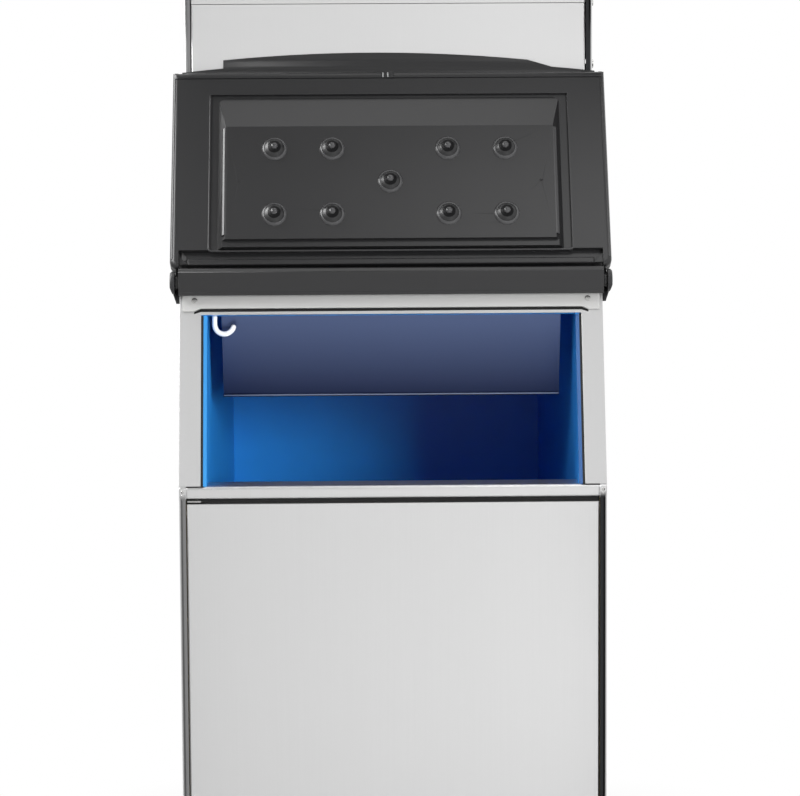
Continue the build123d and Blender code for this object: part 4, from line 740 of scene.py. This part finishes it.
# %% Hook
WIRE = 3.5
HOOK_X, HOOK_Y = -235.0, -342.0
HOOK_LOW = 877.0
HOOK_BEND = 12.6
LINER_ROOF = 930.0
FLANGE, FLANGE_HEIGHT = 6.0, 2.0
BEND_END = 335
centre_x, centre_z = HOOK_X + HOOK_BEND, HOOK_LOW + HOOK_BEND
route = [
    (HOOK_X, LINER_ROOF, FLANGE / WIRE), (HOOK_X, LINER_ROOF - FLANGE_HEIGHT, FLANGE / WIRE),
    (HOOK_X, LINER_ROOF - FLANGE_HEIGHT - 0.4, 1.0),
]
for degrees in range(180, BEND_END + 1, 5):
    turn = math.radians(degrees)
    route.append((centre_x + HOOK_BEND * math.cos(turn), centre_z + HOOK_BEND * math.sin(turn), 1.0))
end_x, end_z, _ = route[-1]
along_x, along_z = -math.sin(math.radians(BEND_END)), math.cos(math.radians(BEND_END))
TIP_RUN = 2.0
for degrees in (0, 25, 50, 70, 88):
    reach = TIP_RUN + WIRE * math.sin(math.radians(degrees))
    route.append((end_x + reach * along_x, end_z + reach * along_z, math.cos(math.radians(degrees))))

wire = bpy.data.curves.new("hook_wire", "CURVE")
wire.dimensions = "3D"
wire.bevel_depth = WIRE * MM
wire.bevel_resolution = 5
wire.use_fill_caps = True
line = wire.splines.new("POLY")
line.points.add(len(route) - 1)
for point, (x, z, size) in zip(line.points, route):
    point.co = (x * MM, HOOK_Y * MM, z * MM, 1.0)
    point.radius = size
holder = bpy.data.objects.new("hook_wire", wire)
bpy.context.scene.collection.objects.link(holder)
view = bpy.context.evaluated_depsgraph_get()
hook_mesh = bpy.data.meshes.new_from_object(holder.evaluated_get(view), depsgraph=view)
bpy.data.objects.remove(holder)
hook = add_piece("hook", hook_mesh, "white_dipped_wire", "cabinet")
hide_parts("scoop_hook")
print("hook reaches down to", round(min(v.co.z for v in hook_mesh.vertices) / MM, 1), "mm")

# %% [markdown]
# ## End caps of the sill
#
# A small steel cap closes the sill at each side, held by two rivets. Its profile has a rounded
# upper edge, worked out as an arc, and is lofted across the cap's width. The rivets are turned,
# and so flat that the closed door's panel clears them.

# %% Sill ends
CAP_INNER, CAP_OUTER = 270.6, 279.8
CAP_FRONT, CAP_BACK = -428.4, -421.0
CAP_LOW, CAP_HIGH = 665.5, 683.0
CAP_ROUND = 5.0
ARC_STEPS = 6
arc = [
    (CAP_FRONT + CAP_ROUND * (1 - math.cos(a)), CAP_HIGH - CAP_ROUND * (1 - math.sin(a)))
    for a in (math.pi / 2 * i / ARC_STEPS for i in range(ARC_STEPS + 1))
]
outline = [(CAP_BACK, CAP_LOW), (CAP_FRONT, CAP_LOW), *arc, (CAP_BACK, CAP_HIGH)]
RIVET = [(0, -0.5), (2.1, -0.5), (2.1, 0.1), (1.8, 0.3), (1.1, 0.45), (0, 0.5)]
RIVET_HEIGHTS = (670.5, 676.0)
front_panel = leaning_panel(Vector((0, CAP_FRONT * MM, 0)), 0.0)
for side, word in ((-1, "left"), (1, "right")):
    cap_mesh = loft("sill_cap", [[(side * x, y, z) for y, z in outline] for x in (CAP_INNER, CAP_OUTER)])
    cap = add_piece("sill_cap_" + word, cap_mesh, "brushed_stainless", "cabinet")
    round_edges(cap, 0.5)
spots = [(side * (CAP_INNER + CAP_OUTER) / 2, z, 0.0) for side in (-1, 1) for z in RIVET_HEIGHTS]
rivets = fittings("sill_rivets", lathe("rivet_form", [RIVET], segments=16), spots, "polished_fastener")
add_piece("sill_rivets", rivets, "polished_fastener", "cabinet", front_panel)

# A short bright clip holds the panel's left end under the sill.
CLIP_Y, CLIP_Z, CLIP_RADIUS = -426.6, 663.3, 1.3
clip = bead_along(
    "panel_clip", [(-269.0, CLIP_Y, CLIP_Z), (-251.0, CLIP_Y, CLIP_Z)], CLIP_RADIUS, "polished_fastener"
)
add_piece("panel_clip", clip, "polished_fastener", "cabinet")
print("rivets:", len(spots))

# %% [markdown]
# ## A white surround that doesn't bleach the steel
#
# The picture needs a white surround, but light as bright as that would turn every pale surface
# white too. So the room has two levels. Rays that come straight from the camera, off metal or
# through glass see white, and the light that falls on surfaces is plainer. The floor works the same
# way, with part of its real shading kept, so that it still holds the object's shadow. The upright
# steel mirrors the floor in front of it, so there the floor is graded from far to near.

# %% Two levels of white
ROOM_LIGHT = 0.35
FLOOR_NEAR = (0.45, 0.75)
FLOOR_FAR = (0.95, 1.0)
FLOOR_IN_METAL = 0.6
METAL_RAMPS = [("Y", -4.6, -1.4, 1.12, 0.72), ("X", -0.6, 0.6, 0.94, 1.14)]


def shown_share(tree, to_camera, to_metal):
    """A share of a ray that is one number for the camera and another for metal and glass."""
    rays = add_node(tree, "ShaderNodeLightPath")
    metal = add_node(
        tree, "ShaderNodeMath",
        [(0, rays.outputs["Is Glossy Ray"]), (1, rays.outputs["Is Transmission Ray"])], operation="MAXIMUM",
    )
    metal = add_node(tree, "ShaderNodeMath", [(0, metal.outputs["Value"]), (1, to_metal)], operation="MULTIPLY")
    total = add_node(
        tree, "ShaderNodeMath",
        [(0, rays.outputs["Is Camera Ray"]), (1, to_camera), (2, metal.outputs["Value"])],
        operation="MULTIPLY_ADD",
    )
    return total.outputs["Value"]


def graded(tree, ramps):
    """Multiplies soft ramps along the axes: each is (axis, low, high, value at low, value at high)."""
    place = add_node(tree, "ShaderNodeTexCoord")
    split = add_node(tree, "ShaderNodeSeparateXYZ", [("Vector", place.outputs["Object"])])
    result = None
    for axis, low, high, first, last in ramps:
        ramp = add_node(
            tree, "ShaderNodeMapRange",
            [("Value", split.outputs[axis]), ("From Min", low), ("From Max", high),
             ("To Min", first), ("To Max", last)],
            interpolation_type="SMOOTHSTEP",
        ).outputs["Result"]
        if result is None:
            result = ramp
        else:
            result = add_node(
                tree, "ShaderNodeMath", [(0, result), (1, ramp)], operation="MULTIPLY"
            ).outputs["Value"]
    return result


def distance_from_object(tree):
    place = add_node(tree, "ShaderNodeTexCoord")
    length = add_node(
        tree, "ShaderNodeVectorMath", [("Vector", place.outputs["Object"])], operation="LENGTH"
    )
    (near, near_share), (far, far_share) = FLOOR_NEAR, FLOOR_FAR
    fade = add_node(
        tree, "ShaderNodeMapRange",
        [("Value", length.outputs["Value"]), ("From Min", near), ("From Max", far),
         ("To Min", near_share), ("To Max", far_share)],
        interpolation_type="SMOOTHSTEP",
    )
    return fade.outputs["Result"]


def floor_material():
    material, tree, shader = new_finish("pale_studio_floor", Roughness=0.8)
    shader.inputs["Base Color"].default_value = linear("#F2F2F2")
    share = shown_share(tree, distance_from_object(tree), FLOOR_IN_METAL)
    seen = add_node(
        tree, "ShaderNodeMapRange",
        [("Value", shown_share(tree, 1.0, 0.0)), ("To Min", graded(tree, METAL_RAMPS)), ("To Max", 1.0)],
    )
    white = add_node(
        tree, "ShaderNodeEmission", [("Color", linear("#FFFFFF")), ("Strength", seen.outputs["Result"])]
    )
    blend = add_node(
        tree, "ShaderNodeMixShader",
        [(0, share), (1, shader.outputs["BSDF"]), (2, white.outputs["Emission"])],
    )
    tree.links.new(blend.outputs["Shader"], tree.nodes["Material Output"].inputs["Surface"])
    return material


def plain_plane(name, corners, material):
    mesh = bpy.data.meshes.new(name)
    mesh.from_pydata([Vector(c) for c in corners], [], [tuple(range(len(corners)))])
    mesh.materials.append(material)
    plane = bpy.data.objects.new(name, mesh)
    bpy.context.scene.collection.objects.link(plane)
    return plane


REACH = 9.0
floor = plain_plane(
    "studio_floor",
    [(-REACH, -REACH, 0), (REACH, -REACH, 0), (REACH, REACH, 0), (-REACH, REACH, 0)],
    floor_material(),
)

world = bpy.data.worlds.new("studio")
bpy.context.scene.world = world
world.use_nodes = True
sky = world.node_tree
level = add_node(
    sky, "ShaderNodeMapRange",
    [("Value", shown_share(sky, 1.0, 1.0)), ("To Min", ROOM_LIGHT), ("To Max", 1.0)],
)
sky.links.new(level.outputs["Result"], sky.nodes["Background"].inputs["Strength"])
sky.nodes["Background"].inputs["Color"].default_value = (1, 1, 1, 1)

# %% [markdown]
# ## Cards that shape the metal
#
# A photographer shapes bright metal with cards, because metal shows the room more than its own
# colour. Here a pale wall behind the camera is brighter on the right, so the flat steel runs from
# light grey to nearly white. Cards overhead do the same for the leaning door, and a bright one at
# the upper left draws its radii. Dark cards draw the rolled edges as dark lines. They stand in
# front of the cabinet's face, never beside it, so that its flat sides don't mirror them.
# Only reflections see the cards: they throw no light and no shadow.

# %% Reflection cards


def card(name, corners, ramps):
    """A card seen only in reflections."""
    material, tree, shader = new_finish(name)
    glow = add_node(tree, "ShaderNodeEmission", [("Strength", graded(tree, ramps))])
    tree.links.new(glow.outputs["Emission"], tree.nodes["Material Output"].inputs["Surface"])
    plane = plain_plane(name, corners, material)
    plane.visible_camera = False
    plane.visible_diffuse = False
    plane.visible_shadow = False
    return plane


def upright_card(name, start, end, low, high, ramps):
    (x0, y0), (x1, y1) = start, end
    return card(name, [(x0, y0, low), (x1, y1, low), (x1, y1, high), (x0, y0, high)], ramps)


upright_card(
    "card_behind_camera", (-2.6, -5.2), (2.6, -5.2), 0.3, 4.2,
    [("X", -0.7, 0.8, 0.8, 1.2), ("Z", 1.6, 3.4, 1.0, 0.66)],
)


BESIDE, CARD_DEPTH, CLEAR = 0.335, 0.17, 0.005
for word, part, low, high in (("bin", "bin_front_panel", 0.0, 0.70), ("head", "head_front_lower", 1.3, 1.75)):
    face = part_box(part)[0].y - CLEAR
    for side, side_word, levels in ((-1, "left", (0.15, 0.35)), (1, "right", (0.03, 0.03))):
        upright_card(
            f"card_{word}_{side_word}", (side * BESIDE, face - CARD_DEPTH), (side * BESIDE, face), low, high,
            [("Y", face - CARD_DEPTH, face, *levels)],
        )


def level_card(name, x, y, z, ramps):
    (x0, x1), (y0, y1) = x, y
    return card(name, [(x0, y0, z), (x1, y0, z), (x1, y1, z), (x0, y1, z)], ramps)


level_card("card_ceiling_front", (-2.5, 2.5), (-4.4, -1.0), 3.4, [("X", -1.3, 1.3, 0.85, 0.85)])
level_card("card_ceiling_back", (-2.5, 2.5), (-1.0, 1.0), 3.4, [("X", -0.6, 0.6, 1.5, 2.0)])
OVER_DOOR = 1.9
level_card(
    "card_over_door", (-0.7, 0.9), (-1.85, -0.6), OVER_DOOR,
    [("Y", -1.08, -0.72, 2.4, 0.0), ("Y", -1.5, -1.2, 0.12, 1.0), ("X", -0.36, 0.36, 0.14, 1.3)],
)
level_card("card_upper_left", (-1.9, -0.75), (-1.3, 0.4), OVER_DOOR, [("X", -1.9, -0.75, 11.0, 11.0)])

# %% Lamps


def area_light(name, spot, target, size, power):
    data = bpy.data.lights.new(name, "AREA")
    data.shape = "RECTANGLE"
    data.size, data.size_y = size
    data.energy = power
    lamp = bpy.data.objects.new(name, data)
    bpy.context.scene.collection.objects.link(lamp)
    lamp.location = spot
    lamp.rotation_euler = (Vector(target) - Vector(spot)).to_track_quat("-Z", "Y").to_euler()
    return lamp


area_light("key_upper_left", (-2.2, -2.4, 2.9), (0, -0.2, 1.0), (1.2, 1.2), 26)
area_light("side_left", (-2.2, -0.1, 1.85), (0, -0.2, 1.1), (1.0, 1.0), 12)
fill = area_light("fill_front_right", (1.35, -3.0, 1.17), (0, 0, 0.75), (1.0, 0.7), 100)
fill.visible_glossy = False

# %% [markdown]
# ## Camera
#
# The photograph was taken with a long lens from about three and a half metres, just above the
# door's hinge, so upright edges stay nearly parallel. The lens comes from the picture's
# field of view; guessing a focal length and moving the camera to suit would bend the shape.

# %% Camera
PICTURE_WIDTH = 800
LENS_PIXELS = 2698
SENSOR = 36.0
camera_data = bpy.data.cameras.new("camera")
camera_data.sensor_width = SENSOR
camera_data.lens = SENSOR * LENS_PIXELS / PICTURE_WIDTH
camera = bpy.data.objects.new("camera", camera_data)
bpy.context.scene.collection.objects.link(camera)
PITCH, YAW, ROLL = math.radians(5.1), math.radians(0.91), math.radians(0.34)
turn = Matrix.Rotation(-YAW, 4, "Z") @ Matrix.Rotation(math.pi / 2 - PITCH, 4, "X")
turn = turn @ Matrix.Rotation(-ROLL, 4, "Z")
camera.matrix_world = Matrix.Translation((-0.046, -3.930, 1.1101)) @ turn
bpy.context.scene.camera = camera
bpy.context.scene.view_settings.view_transform = "Standard"
print("lens:", round(camera_data.lens, 1), "mm")
